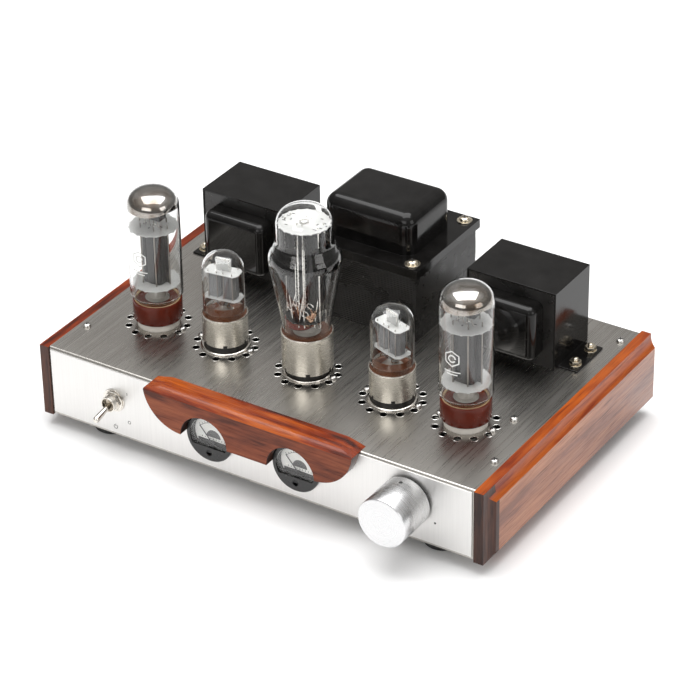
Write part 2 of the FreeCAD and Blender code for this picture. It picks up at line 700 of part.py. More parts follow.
def panel_nuts():
    """Washer and two nuts of the switch, washer and nut of the potentiometer."""
    z = "foot_height + switch_z"
    outlines = (
        ("switch_washer", "collar_radius + 0.1", "8.4", "fascia_gauge", "fascia_gauge + 0.8", "switch_x", z),
        ("switch_nut", "collar_radius + 0.1", "7.2", "fascia_gauge + 0.8", "fascia_gauge + 3.2", "switch_x", z),
        ("pot_nut", "bush_radius + 0.1", "6.2", "fascia_gauge", "fascia_gauge + 2.4", "knob_x",
         "foot_height + knob_z"),
    )
    rings = []
    for name, inner, outer, start, end, x, height in outlines:
        rings.append(turned(name, [(inner, start), (outer, start), (outer, end), (inner, end)],
                            (x, "front_y", height), "-y"))
    group("panel_nuts", rings)


# ---------------------------------------------------------------- tubes

def tube_sockets():
    """Ceramic octal sockets; a saddle with two ears hangs each one under the deck."""
    sockets, screws = [], []
    for name, x, family in socket_places():
        at = (x, TUBE_Y, DECK)
        core = turned(
            f"{name}_socket_core",
            [("0", "-socket_depth"), ("socket_radius - 1.5", "-socket_depth"), ("socket_radius - 1.5", "-4"),
             ("socket_radius + 2", "-4"), ("socket_radius + 2", "-steel_gauge"),
             ("socket_radius", "-steel_gauge"),
             ("socket_radius", "socket_rise - 0.6"), ("socket_radius - 0.6", "socket_rise"),
             ("0", "socket_rise")],
            at,
        )
        saddle = slab(f"{name}_saddle", ("2 * ear_reach + 6", "6", "1"), (x, TUBE_Y, UNDER_DECK + " - 1"))
        tools = []
        for number, angle in enumerate(ring_angles(8, 22.5)):
            pin_at = (
                f"{x} + pin_circle * {math.cos(angle):.5f}",
                f"{TUBE_Y} + pin_circle * {math.sin(angle):.5f}",
                DECK + " - 9.3",
            )
            tools.append(rod(f"{name}_pin_hole_{number}", "pin_radius + 0.35", "socket_rise + 9.4", pin_at))
        tools.append(rod(f"{name}_key_hole", "key_radius + 0.35", "40", (x, TUBE_Y, DECK + " - 20")))
        tools.append(slab(f"{name}_key_slot", ("2.2", "6", "40"), (x, f"{TUBE_Y} - 3", DECK + " - 20")))
        for side, sign in SIDES:
            screw_at = (f"{x} + {sign} * ear_reach", TUBE_Y)
            tools.append(rod(f"{name}_ear_hole_{side}", "1.6", "8", screw_at + (DECK + " - 6",)))
            screws.append(pan_screw(f"{name}_screw_{side}", "2.7", "1.4", "6", screw_at + (DECK,)))
        sockets.append(cut(f"{name}_socket", fuse(f"{name}_socket_blank", [core, saddle]), tools))
    group("tube_sockets", sockets)
    group("socket_screws", screws)


def octal_base(name, x, outline):
    """Shell of the base with its eight pins and the ribbed locating key."""
    shell = turned(f"{name}_base_shell", outline, (x, TUBE_Y, DECK + " + socket_rise"))
    parts = [shell]
    for number, angle in enumerate(ring_angles(8, 22.5)):
        at = (f"{x} + pin_circle * {math.cos(angle):.5f}", f"{TUBE_Y} + pin_circle * {math.sin(angle):.5f}",
              DECK + " + socket_rise - pin_length")
        parts.append(rod(f"{name}_pin_{number}", "pin_radius", "pin_length + 1", at))
    key = (x, TUBE_Y, DECK + " + socket_rise - pin_length - 2")
    parts.append(rod(f"{name}_key", "key_radius", "pin_length + 3", key))
    rib = (x, f"{TUBE_Y} - key_radius", DECK + " + socket_rise - pin_length - 2")
    parts.append(slab(f"{name}_rib", ("1.4", "2", "pin_length + 3"), rib))
    fuse(f"{name}_base", parts)


def circles_at(height, radius):
    """Test for a turned edge at a height and radius of its body."""
    def wanted(edge):
        box = edge.BoundBox
        level = abs(box.ZMin - height) < 0.01 and box.ZLength < 0.01
        return level and abs(box.XLength - 2 * radius) < 0.02
    return wanted


def bulb(name, x, bottom, profile, rounds):
    """Hollow bulb: an outer profile of (radius, height above the deck) and the same less the wall."""
    inner = [(f"{radius} - glass_wall", height) for radius, height in profile]
    first_radius, first_height = inner[0]
    last_radius, last_height = inner[-1]
    inner[0] = (first_radius, f"{first_height} + glass_wall")
    inner[-1] = (last_radius, f"{last_height} - glass_wall")
    outline = [("0", bottom)] + profile + [("0", last_height)]
    outline += [("0", f"{last_height} - glass_wall")] + inner[::-1] + [("0", f"{bottom} + glass_wall")]
    shell = turned(f"{name}_glass", outline, (x, TUBE_Y, DECK))
    for number, (radius, height, rounding) in enumerate(rounds):
        round_edges(shell, f"{name}_round_{number}", rounding, circles_at(height, radius))
    return shell


def straight_tube(name, x, family):
    """Tube with a straight bulb and a domed top."""
    base_radius = f"{family}_base_radius"
    height = f"{family}_base_height"
    octal_base(name, x, [
        ("0", "0"), (f"{base_radius} - 1.2", "0"), (base_radius, "1.2"), (base_radius, height),
        (f"{base_radius} - 0.8", height), (f"{base_radius} - 0.8", f"{height} - 1.5"), ("0", f"{height} - 1.5"),
    ])
    bottom = f"socket_rise + {height} - 1.5"
    shoulder = f"{family}_top"
    radius = f"{family}_glass_radius"
    lower_radius = f"{base_radius} - 1"
    bulb_radius = size(f"{family}_glass_radius")
    top = size(f"{family}_top")
    wall = size("glass_wall")
    dome = size(f"{family}_dome_round")
    bulb(
        name, x, bottom,
        [(lower_radius, bottom), (lower_radius, f"{bottom} + 2"), (radius, f"{bottom} + 5"),
         (radius, shoulder)],
        [(bulb_radius - wall, top - wall, f"{dome - wall}"), (bulb_radius, top, f"{dome}")],
    )
    mount = f"socket_rise + {height} - 1.5 + glass_wall"
    plate_top = f"{family}_top - {family}_glass_radius - 4"
    stem = rod(f"{name}_stem", "5", "7", (x, TUBE_Y, f"{DECK} + {mount}"))
    lower = rod(f"{name}_lower_mica", f"{family}_glass_radius - glass_wall - 1", "1",
                (x, TUBE_Y, f"{DECK} + {mount} + 7"))
    plates = slab(f"{name}_anode", (f"{family}_glass_radius * 1.15", f"{family}_glass_radius * 0.8",
                                    f"{plate_top} - ({mount}) - 8"), (x, TUBE_Y, f"{DECK} + {mount} + 8"))
    upper = rod(f"{name}_upper_mica", f"{family}_glass_radius - glass_wall - 1", "1",
                (x, TUBE_Y, f"{DECK} + {plate_top}"))
    fuse(f"{name}_electrodes", [stem, lower, plates, upper])


def rectifier(name, x):
    """Rectifier with a bulb that swells above its base and steps in to a narrower crown."""
    height = "rectifier_base_height"
    base_radius = "rectifier_base_radius"
    octal_base(name, x, [
        ("0", "0"), (f"{base_radius} - 1.2", "0"), (base_radius, "1.2"), (base_radius, height),
        (f"{base_radius} - 0.8", height), (f"{base_radius} - 0.8", f"{height} - 1.5"), ("0", f"{height} - 1.5"),
    ])
    bottom = "socket_rise + rectifier_base_height - 1.5"
    belly_height = size("rectifier_bulb_height")
    belly_radius = size("rectifier_bulb_radius")
    neck_radius = size("rectifier_neck_radius")
    top = size("rectifier_top")
    wall = size("glass_wall")
    bulb(
        name, x, bottom,
        [("rectifier_base_radius - 1", bottom), ("rectifier_base_radius - 1", f"{bottom} + 5"),
         ("rectifier_bulb_radius", "rectifier_bulb_height"), ("rectifier_neck_radius", "rectifier_neck_height"),
         ("rectifier_neck_radius", "rectifier_top")],
        [(neck_radius - wall, top - wall, "12.8"), (neck_radius, top, "14"),
         (belly_radius - wall, belly_height, "8"), (belly_radius, belly_height, "9")],
    )
    mount = f"{bottom} + glass_wall"
    stem = rod(f"{name}_stem", "5", "12", (x, TUBE_Y, f"{DECK} + {mount}"))
    lower = rod(f"{name}_lower_mica", "13", "1", (x, TUBE_Y, f"{DECK} + {mount} + 12"))
    plates = slab(f"{name}_anode", ("22", "9", "52"), (x, TUBE_Y, f"{DECK} + {mount} + 13"))
    upper = rod(f"{name}_upper_mica", "rectifier_neck_radius - glass_wall - 0.8", "1",
                (x, TUBE_Y, f"{DECK} + rectifier_neck_height + 9"))
    posts = [rod(f"{name}_support_{side}", "1", f"rectifier_neck_height + 9 - ({mount}) - 12",
                 (f"{x} + {sign} * 10", TUBE_Y, f"{DECK} + {mount} + 12.5")) for side, sign in SIDES]
    fuse(f"{name}_electrodes", [stem, lower, plates, upper] + posts)


def tubes():
    for name, x, family in socket_places():
        if family == "rectifier":
            rectifier(name, x)
        else:
            straight_tube(name, x, family)


# ---------------------------------------------------------------- transformers

def mains_transformer():
    """Lamination stack under a pressed cover with a turned-down rim and a dome."""
    slab("mains_core", ("mains_width - 2 * mains_step", "mains_depth - 2 * mains_step", "mains_flange - 1.2"),
         ("0", TRANSFORMER_Y, DECK))
    rim = slab("mains_rim", ("mains_width", "mains_depth", "mains_skirt"),
               ("0", TRANSFORMER_Y, DECK + " + mains_flange - mains_skirt"))
    dome = padded(
        "mains_dome", "XY_Plane",
        [("-dome_width / 2", "-dome_depth / 2"), ("dome_width / 2", "-dome_depth / 2"),
         ("dome_width / 2", "dome_depth / 2"), ("-dome_width / 2", "dome_depth / 2")],
        "dome_top - mains_flange", ("-dome_left", TRANSFORMER_Y + " - dome_ahead", DECK + " + mains_flange"),
        midplane=False,
    )
    round_edges(dome, "mains_dome_round", "dome_round", lambda edge: edge.BoundBox.ZMax > 0.1)
    hollow = slab("mains_hollow", ("mains_width - 2 * mains_step", "mains_depth - 2 * mains_step", "mains_skirt"),
                  ("0", TRANSFORMER_Y, DECK + " + mains_flange - mains_skirt - 1.2"))
    cut("mains_cover", fuse("mains_cover_blank", [rim, dome]), [hollow] + mains_bolt_holes())
    bolts = []
    for number, (x, y) in enumerate(mains_bolt_places()):
        seat = (x, y, DECK + " + mains_flange + 0.8")
        bolts.append(pan_screw(f"mains_bolt_{number}", "3.8", "1.9", "1", seat))
        washer = [("1.9", "0"), ("5.4", "0"), ("5.4", "0.8"), ("1.9", "0.8")]
        bolts.append(turned(f"mains_washer_{number}", washer, (x, y, DECK + " + mains_flange")))
    group("mains_bolts", bolts)


def mains_bolt_holes():
    return [
        rod(f"mains_bolt_hole_{number}", "2", "3", (x, y, DECK + " + mains_flange - 1.2"))
        for number, (x, y) in enumerate(mains_bolt_places())
    ]


def output_transformers():
    """Two output transformers: laminations in a folded frame with feet, and two end bells."""
    bolts = []
    for side, sign in SIDES:
        x = f"{sign} * output_x"
        slab(f"output_core_{side}",
             ("output_width - 2 * frame_gauge", "output_depth - 1", "output_top - frame_gauge"),
             (x, TRANSFORMER_Y, DECK))
        outer = slab(f"output_frame_outer_{side}", ("output_width", "output_depth", "output_top"),
                     (x, TRANSFORMER_Y, DECK))
        foot = slab(f"output_frame_foot_{side}", ("output_width + 2 * ear_width", "ear_depth", "frame_gauge"),
                    (x, TRANSFORMER_Y, DECK))
        inner = slab(f"output_frame_inner_{side}",
                     ("output_width - 2 * frame_gauge", "output_depth + 2", "output_top"),
                     (x, TRANSFORMER_Y, DECK + " - frame_gauge"))
        holes = []
        for place_name, bolt_x, bolt_y in mount_bolt_places(side, sign):
            holes.append(rod(f"{place_name}_hole", "2.1", "6", (bolt_x, bolt_y, DECK + " - 2")))
            bolts.append(turned(
                f"{place_name}_bolt",
                [("0", "-6"), ("2", "-6"), ("2", "frame_gauge"), ("4.4", "frame_gauge"),
                 ("4.4", "frame_gauge + 0.7"), ("3.6", "frame_gauge + 0.7"), ("3.6", "frame_gauge + 3.4"),
                 ("2", "frame_gauge + 3.4"), ("2", "frame_gauge + 5.4"), ("0", "frame_gauge + 5.4")],
                (bolt_x, bolt_y, DECK),
            ))
        cut(f"output_frame_{side}", fuse(f"output_frame_blank_{side}", [outer, foot]), [inner] + holes)
        group(f"output_bells_{side}", [end_bell(side, end, x) for end in (-1, 1)])
    group("output_bolts", bolts)


def end_bell(side, end, x):
    """Pressed bell over one end of the coil, with rounded corners."""
    name = f"output_bell_{side}_{'front' if end < 0 else 'rear'}"
    bell = padded(
        name, "XZ_Plane",
        [("-bell_width / 2", "bell_bottom"), ("bell_width / 2", "bell_bottom"),
         ("bell_width / 2", "bell_top"), ("-bell_width / 2", "bell_top")],
        "bell_reach", (x, f"{TRANSFORMER_Y} + {end} * (output_depth - 1 + bell_reach) / 2", DECK),
    )
    outer_face = end * size("bell_reach") / 2
    round_edges(
        bell, name + "_round", "bell_round",
        lambda edge: abs(edge.BoundBox.YMin - outer_face) < 0.01 or edge.BoundBox.YLength > 1,
    )
    return bell


# ---------------------------------------------------------------- rear panel

def mains_inlet():
    """Appliance inlet with three blades, and the fuse drawer above it."""
    z = "foot_height + inlet_z"
    flange = slab("inlet_plate", ("inlet_width", "inlet_flange", "inlet_height"),
                  ("inlet_x", REAR + " + inlet_flange / 2", f"{z} - inlet_height / 2"))
    can = slab("inlet_can", ("inlet_width - 22.4", "24", "inlet_height - 4.4"),
               ("inlet_x", REAR + " - 12", f"{z} - inlet_height / 2 + 2.2"))
    cavity = slab("inlet_cavity", ("24.4", "20", "16.8"), ("inlet_x", REAR + " - 5", f"{z} - 15"))
    drawer_bay = slab("inlet_bay", ("24.6", "24", "9.2"), ("inlet_x", REAR + " - 7", f"{z} + 4.6"))
    holes = [cavity, drawer_bay]
    for side, sign in SIDES:
        holes.append(rod(f"inlet_hole_{side}", "1.6", "8", (f"inlet_x + {sign} * 20", REAR + " - 2", z), "y"))
    shell = cut("inlet_shell", fuse("inlet_blank", [flange, can]), holes)
    blades = []
    for number, (across, up) in enumerate(((-7, -8.6), (7, -8.6), (0, -4.6))):
        blades.append(slab(f"inlet_blade_{number}", ("2", "17", "4"),
                           (f"inlet_x + {across}", REAR + " - 7.5", f"{z} + {up} - 2")))
    fuse("mains_inlet", [shell] + blades)
    tray = slab("drawer_tray", ("24", "23", "8.6"), ("inlet_x", REAR + " - 7", f"{z} + 4.9"))
    lip = slab("drawer_lip", ("26", "1.6", "10.2"), ("inlet_x", REAR + " + inlet_flange + 1.1", f"{z} + 4.1"))
    neck = slab("drawer_neck", ("22", "2.2", "7"), ("inlet_x", REAR + " + 4", f"{z} + 5.7"))
    fuse("fuse_drawer", [tray, lip, neck])


def input_jacks():
    z = "foot_height + post_z"
    jacks = []
    for number in range(2):
        jacks.append(turned(
            f"input_jack_{number}",
            [("1.6", "jack_reach"), ("jack_radius - 0.4", "jack_reach"), ("jack_radius", "jack_reach - 0.4"),
             ("jack_radius", "2.6"), ("6.6", "2.6"), ("6.6", "0"), ("jack_radius", "0"), ("jack_radius", "-4"),
             ("0", "-4"), ("0", "0"), ("1.6", "0")],
            (f"jack_x + {number} * jack_pitch", REAR, z), "y",
        ))
    group("input_jacks", jacks)


def speaker_posts():
    """Four metal posts with a collar; each takes a 4 mm plug and has a turning cap."""
    z = "foot_height + post_z"
    posts = []
    names = ("left_outer", "left_inner", "right_inner", "right_outer")
    for name, x in zip(names, POST_X):
        posts.append(turned(
            f"speaker_post_{name}",
            [("0", "-8"), ("post_radius - 0.2", "-8"), ("post_radius - 0.2", "0"), ("6.2", "0"), ("6.2", "4.6"),
             ("post_radius", "4.6"), ("post_radius", "post_reach"), ("post_bore", "post_reach"),
             ("post_bore", "post_reach - 15"), ("0", "post_reach - 15")],
            (x, REAR, z), "y",
        ))
        turned(
            f"speaker_cap_{name}",
            [("post_radius + 0.3", "5.2"), ("cap_radius - 0.8", "5.2"), ("cap_radius", "6"),
             ("cap_radius", "post_reach - 1.3"), ("cap_radius - 0.8", "post_reach - 0.5"),
             ("post_radius + 0.3", "post_reach - 0.5")],
            (x, REAR, z), "y",
        )
    group("speaker_posts", posts)


# ---------------------------------------------------------------- inside

def circuit_board():
    slab("circuit_board", ("board_width", "board_depth", "board_gauge"),
         ("0", "front_y + board_y + board_depth / 2", "foot_height + board_lift"))
    spacers, cans = [], []
    outline = [("0", "cover_gauge"), ("3", "cover_gauge"), ("3", "board_lift"), ("0", "board_lift")]
    for number, (across, along) in enumerate(((-1, 0), (1, 0), (-1, 1), (1, 1))):
        at = (
            f"{across} * (board_width / 2 - 6)",
            f"front_y + board_y + 6 + {along} * (board_depth - 12)",
            FLOOR,
        )
        spacers.append(turned(f"board_spacer_{number}", outline, at))
    for number in range(4):
        at = (f"{(number - 1.5) * 30}", "front_y + board_y + 20", "foot_height + board_lift + board_gauge")
        can = turned(
            f"filter_can_{number}",
            [("0", "0"), ("can_radius", "0"), ("can_radius", "3"), ("can_radius - 0.5", "3.6"),
             ("can_radius", "4.2"), ("can_radius", "can_height - 0.8"), ("can_radius - 0.8", "can_height"),
             ("0", "can_height")],
            at,
        )
        cans.append(can)
    group("board_spacers", spacers)
    group("filter_capacitors", cans)


NODES = [
    "chassis_shell", "bottom_cover", "feet", "foot_screws", "deck_screws", "front_fascia",
    "side_panel_left", "side_panel_right", "front_bar",
    "meter_cases", "meter_dials", "meter_windows", "meter_screws", "meter_needle_left", "meter_needle_right",
    "volume_knob", "volume_shaft", "knob_washer", "potentiometer", "switch_body", "toggle_lever", "panel_nuts",
    "tube_sockets", "socket_screws",
    "mains_core", "mains_cover", "mains_bolts",
    "output_core_left", "output_core_right", "output_frame_left", "output_frame_right",
    "output_bells_left", "output_bells_right", "output_bolts",
    "mains_inlet", "fuse_drawer", "input_jacks", "speaker_posts",
    "speaker_cap_left_outer", "speaker_cap_left_inner", "speaker_cap_right_inner", "speaker_cap_right_outer",
    "circuit_board", "board_spacers", "filter_capacitors",
]
PIECES = ("base", "glass", "electrodes")
NODES += [f"{name}_{piece}" for name, x, family in socket_places() for piece in PIECES]


def build():
    chassis_shell()
    bottom_cover()
    feet()
    foot_screws()
    deck_screws()
    front_fascia()
    side_panels()
    front_bar()
    meters()
    volume_control()
    power_switch()
    panel_nuts()
    tube_sockets()
    tubes()
    mains_transformer()
    output_transformers()
    mains_inlet()
    input_jacks()
    speaker_posts()
    circuit_board()
    doc.recompute()


def check():
    """Stop if any object failed, or if a piece isn't made of valid solids."""
    broken = [item.Name for item in doc.Objects if "Invalid" in item.State or "Error" in item.State]
    for name in NODES:
        shape = doc.getObject(name).Shape
        if shape.isNull() or not shape.isValid() or not shape.Solids:
            broken.append(name)
    if broken:
        raise SystemExit("failed: " + ", ".join(broken))


def write():
    os.makedirs("parts", exist_ok=True)
    for name in NODES:
        doc.getObject(name).Shape.exportStep(f"parts/{name}.step")


build()
check()
write()
box = group("whole", [doc.getObject(name) for name in NODES])
doc.recompute()
print("pieces", len(NODES), "box", box.Shape.BoundBox)
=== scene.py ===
import json
import math
import random

import bmesh
import bpy
from mathutils import Matrix, Vector


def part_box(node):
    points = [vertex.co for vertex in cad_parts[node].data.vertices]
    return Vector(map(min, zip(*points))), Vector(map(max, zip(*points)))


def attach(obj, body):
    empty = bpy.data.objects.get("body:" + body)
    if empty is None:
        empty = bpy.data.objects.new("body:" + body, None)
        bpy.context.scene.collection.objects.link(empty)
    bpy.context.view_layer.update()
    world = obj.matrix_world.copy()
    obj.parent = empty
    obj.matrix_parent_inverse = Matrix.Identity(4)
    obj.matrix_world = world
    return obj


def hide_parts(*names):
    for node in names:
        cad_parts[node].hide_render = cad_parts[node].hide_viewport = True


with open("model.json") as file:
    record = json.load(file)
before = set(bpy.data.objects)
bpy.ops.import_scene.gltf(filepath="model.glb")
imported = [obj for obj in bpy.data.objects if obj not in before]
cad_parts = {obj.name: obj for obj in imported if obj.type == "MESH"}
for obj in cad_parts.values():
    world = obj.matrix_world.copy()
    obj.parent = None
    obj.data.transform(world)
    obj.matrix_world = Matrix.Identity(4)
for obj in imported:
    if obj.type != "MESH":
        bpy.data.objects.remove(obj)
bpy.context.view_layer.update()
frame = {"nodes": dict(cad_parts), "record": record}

MM = 0.001
RECORD = frame["record"]
NODES = frame["nodes"]
NODE_BODY = {node: body for body, members in RECORD["behaviour"]["bodies"].items() for node in members}
NODE_SLOT = {entry["node"]: entry["material_slot"] for entry in RECORD["subparts"]}

TUBES = ("power_tube_left", "driver_tube_left", "rectifier_tube", "driver_tube_right", "power_tube_right")
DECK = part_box("chassis_shell")[1].z


# ---------------------------------------------------------------- places and outlines, angles in degrees

def shift_by(x, y, z=0.0):
    return Matrix.Translation(Vector((x, y, z)))


def turn_about(axis, degrees):
    return Matrix.Rotation(math.radians(degrees), 4, axis)


def polar(radius, degrees):
    """Point on a circle about the origin."""
    angle = math.radians(degrees)
    return radius * math.cos(angle), radius * math.sin(angle)


def arc(centre, radius, start, end, steps):
    """Points on an arc of a profile or an outline."""
    points = []
    for step in range(steps + 1):
        x, y = polar(radius, start + (end - start) * step / steps)
        points.append((centre[0] + x, centre[1] + y))
    return points


def straight_path(start, end, steps=8):
    return [tuple(a + (b - a) * step / steps for a, b in zip(start, end)) for step in range(steps + 1)]


def stepped(corners, steps):
    """The outline through the corners, with each side in equal steps."""
    points = []
    for one, other in zip(corners, corners[1:] + corners[:1]):
        points += straight_path(one, other, steps)[:-1]
    return points


def rectangle(across, along):
    """Corners of a rectangle about the origin, from its half sizes."""
    return [(-across, -along), (across, -along), (across, along), (-across, along)]


def rounded_outline(width, depth, radius, steps=6):
    """Outline of a rectangle with rounded corners, centred on the origin."""
    across, along = width / 2 - radius, depth / 2 - radius
    corners = ((across, along), (-across, along), (-across, -along), (across, -along))
    points = []
    for quarter, corner in enumerate(corners):
        points += arc(corner, radius, 90 * quarter, 90 * quarter + 90, steps)
    return points


def hex_outline(across):
    """Corners of a hexagon, from its size across the flats."""
    return arc((0, 0), across / math.sqrt(3), 0, 300, 5)


def face_turn(x, y, z):
    """Carries a shape drawn flat, seen from above, onto a vertical face seen from the front."""
    return shift_by(x, y, z) @ turn_about("X", 90)


def sides_of(path, width, closed):
    """Each point of a path, with the step from it to the edge of a line of this width."""
    count = len(path)
    pairs = []
    for index, point in enumerate(path):
        before = path[(index - 1) % count if closed else max(index - 1, 0)]
        after = path[(index + 1) % count if closed else min(index + 1, count - 1)]
        along = Vector((after[0] - before[0], after[1] - before[1])).normalized()
        pairs.append((point, Vector((-along.y, along.x)) * width / 2))
    return pairs


# ---------------------------------------------------------------- stage, camera, light

CAMERA_AZIMUTH = 32.89
CAMERA_ELEVATION = 31.83
CAMERA_ROLL = -0.99
CAMERA_DISTANCE = 2.0355
CAMERA_LENS = 155.53
CAMERA_TARGET = Vector((0.01225, -0.00647, 0.06523))
FLOOR_REACH = 6.0


def add_camera():
    azimuth = math.radians(CAMERA_AZIMUTH)
    elevation = math.radians(CAMERA_ELEVATION)
    back = Vector((
        math.sin(azimuth) * math.cos(elevation),
        -math.cos(azimuth) * math.cos(elevation),
        math.sin(elevation),
    ))
    right = Vector((0, 0, 1)).cross(back).normalized()
    up = back.cross(right)
    turn = Matrix((right, up, back)).transposed().to_4x4() @ turn_about("Z", CAMERA_ROLL)
    data = bpy.data.cameras.new("photo_view")
    data.lens = CAMERA_LENS
    data.sensor_width = 36
    data.clip_end = 50
    camera = bpy.data.objects.new("photo_view", data)
    camera.matrix_world = Matrix.Translation(CAMERA_TARGET + back * CAMERA_DISTANCE) @ turn
    bpy.context.scene.collection.objects.link(camera)
    bpy.context.scene.camera = camera


def add_softbox(name, place, aim, width, height, power):
    data = bpy.data.lights.new(name, "AREA")
    data.shape = "RECTANGLE"
    data.size = width
    data.size_y = height
    data.energy = power
    light = bpy.data.objects.new(name, data)
    light.location = place
    light.rotation_euler = (Vector(place) - Vector(aim)).to_track_quat("Z", "Y").to_euler()
    bpy.context.scene.collection.objects.link(light)


def add_stage():
    mesh = bpy.data.meshes.new("floor")
    corners = [(x, y, 0) for x, y in rectangle(FLOOR_REACH, FLOOR_REACH)]
    mesh.from_pydata(corners, [], [(0, 1, 2, 3)])
    floor = bpy.data.objects.new("floor", mesh)
    bpy.context.scene.collection.objects.link(floor)
    look = Look("floor_white", (0.93, 0.93, 0.93), 0.6)
    mesh.materials.append(look.material)


def add_world():
    """Soft white room, brighter overhead than near the horizon."""
    world = bpy.data.worlds.new("white_room")
    bpy.context.scene.world = world
    world.use_nodes = True
    nodes, links = world.node_tree.nodes, world.node_tree.links
    background = nodes["Background"]
    coordinates = nodes.new("ShaderNodeTexCoord")
    split = nodes.new("ShaderNodeSeparateXYZ")
    ramp = nodes.new("ShaderNodeValToRGB")
    set_stops(ramp, [(0.0, (0.26, 0.26, 0.26)), (0.28, (0.26, 0.26, 0.255)), (0.46, (0.42, 0.41, 0.40)),
                     (0.62, (0.42, 0.41, 0.40)), (0.85, (0.9, 0.9, 0.9))])
    links.new(coordinates.outputs["Generated"], split.inputs[0])
    links.new(split.outputs["Z"], ramp.inputs["Fac"])
    links.new(ramp.outputs["Color"], background.inputs["Color"])
    background.inputs["Strength"].default_value = 1.0


def set_stops(ramp, stops):
    elements = ramp.color_ramp.elements
    while len(elements) > 1:
        elements.remove(elements[-1])
    elements[0].position = stops[0][0]
    elements[0].color = (*stops[0][1], 1)
    for position, color in stops[1:]:
        elements.new(position).color = (*color, 1)


# ---------------------------------------------------------------- materials

class Look:
    """A Principled material with short ways to feed its sockets from procedural nodes."""

    def __init__(self, name, color, roughness, metallic=0.0, **sockets):
        self.material = bpy.data.materials.new(name)
        self.material.use_nodes = True
        self.nodes = self.material.node_tree.nodes
        self.links = self.material.node_tree.links
        self.bsdf = self.nodes["Principled BSDF"]
        self.set("Base Color", (*color, 1))
        self.set("Roughness", roughness)
        self.set("Metallic", metallic)
        for socket, value in sockets.items():
            self.set(socket.replace("_", " ").title().replace("Ior", "IOR"), value)

    def set(self, socket, value):
        self.bsdf.inputs[socket].default_value = value

    def feed(self, socket, output):
        self.links.new(output, self.bsdf.inputs[socket])

    def add(self, kind, **inputs):
        node = self.nodes.new(kind)
        for name, value in inputs.items():
            self.wire(node, name.replace("_", " "), value)
        return node

    def wire(self, node, name, value):
        """Set or link an input, matched by its name without regard to case."""
        socket = next(item for item in node.inputs if item.name.lower() == name.lower() and item.enabled)
        if isinstance(value, bpy.types.NodeSocket):
            self.links.new(value, socket)
        else:
            socket.default_value = value

    def coordinates(self, stretch=(1, 1, 1), turn=(0, 0, 0), shift=(0, 0, 0)):
        """Object coordinates in metres, stretched."""
        place = self.nodes.new("ShaderNodeTexCoord")
        mapping = self.nodes.new("ShaderNodeMapping")
        mapping.inputs["Scale"].default_value = stretch
        mapping.inputs["Rotation"].default_value = [math.radians(angle) for angle in turn]
        mapping.inputs["Location"].default_value = shift
        self.links.new(place.outputs["Object"], mapping.inputs["Vector"])
        return mapping.outputs["Vector"]

    def noise(self, vector, scale, detail=3.0, roughness=0.5, distortion=0.0):
        node = self.add("ShaderNodeTexNoise", vector=vector, scale=scale, detail=detail,
                        roughness=roughness, distortion=distortion)
        return node.outputs["Fac"]

    def ramp(self, factor, stops):
        node = self.nodes.new("ShaderNodeValToRGB")
        set_stops(node, stops)
        self.links.new(factor, node.inputs["Fac"])
        return node.outputs["Color"]

    def span(self, factor, low, high, from_low=0.0, from_high=1.0):
        """Factor carried from one range to another, clamped."""
        node = self.nodes.new("ShaderNodeMapRange")
        self.links.new(factor, node.inputs["Value"])
        ends = (("From Min", from_low), ("From Max", from_high), ("To Min", low), ("To Max", high))
        for name, value in ends:
            node.inputs[name].default_value = value
        return node.outputs["Result"]

    def math(self, operation, first, second=0.0):
        node = self.nodes.new("ShaderNodeMath")
        node.operation = operation
        for socket, value in zip(node.inputs, (first, second)):
            if isinstance(value, bpy.types.NodeSocket):
                self.links.new(value, socket)
            else:
                socket.default_value = value
        return node.outputs[0]

    def mix(self, factor, first, second, mode="MIX"):
        node = self.nodes.new("ShaderNodeMix")
        node.data_type = "RGBA"
        node.blend_type = mode
        for socket, value in zip((node.inputs[0], node.inputs[6], node.inputs[7]), (factor, first, second)):
            if isinstance(value, bpy.types.NodeSocket):
                self.links.new(value, socket)
            elif isinstance(value, tuple):
                socket.default_value = (*value, 1)
            else:
                socket.default_value = value
        return node.outputs[2]

    def axis(self, vector, name):
        node = self.nodes.new("ShaderNodeSeparateXYZ")
        self.links.new(vector, node.inputs[0])
        return node.outputs[name]

    def bump(self, height, distance, strength=1.0):
        """Distance is in millimetres."""
        node = self.nodes.new("ShaderNodeBump")
        node.inputs["Strength"].default_value = strength
        node.inputs["Distance"].default_value = distance * MM
        self.links.new(height, node.inputs["Height"])
        if self.bsdf.inputs["Normal"].links:
            self.links.new(self.bsdf.inputs["Normal"].links[0].from_socket, node.inputs["Normal"])
        self.feed("Normal", node.outputs["Normal"])


def brushed(name, tint, grain, rough=0.26, contrast=0.05, lines=2600.0):
    """Brushed metal; grain is the axis that the brush marks run along."""
    look = Look(name, tint, rough, 1.0)
    stretch = {"x": (0.012, 1, 1), "y": (1, 0.012, 1), "z": (1, 1, 0.012)}[grain]
    where = look.coordinates(stretch)
    fine = look.noise(where, lines, 2.0, 0.6)
    broad = look.noise(where, lines / 5, 2.0, 0.5)
    cloud = look.noise(look.coordinates(), 9.0, 2.0)
    streak = look.math("ADD", look.math("MULTIPLY", fine, 0.6), look.math("MULTIPLY", broad, 0.4))
    light = tuple(min(1.0, channel * (1 + contrast)) for channel in tint)
    dark = tuple(channel * (1 - contrast) for channel in tint)
    look.feed("Base Color", look.ramp(streak, [(0.3, dark), (0.7, light)]))
    rougher = look.math("ADD", look.span(streak, rough - 0.05, rough + 0.07, 0.3, 0.7),
                        look.span(cloud, -0.02, 0.03, 0.3, 0.7))
    look.feed("Roughness", rougher)
    look.bump(streak, 0.012, 0.25)
    return look


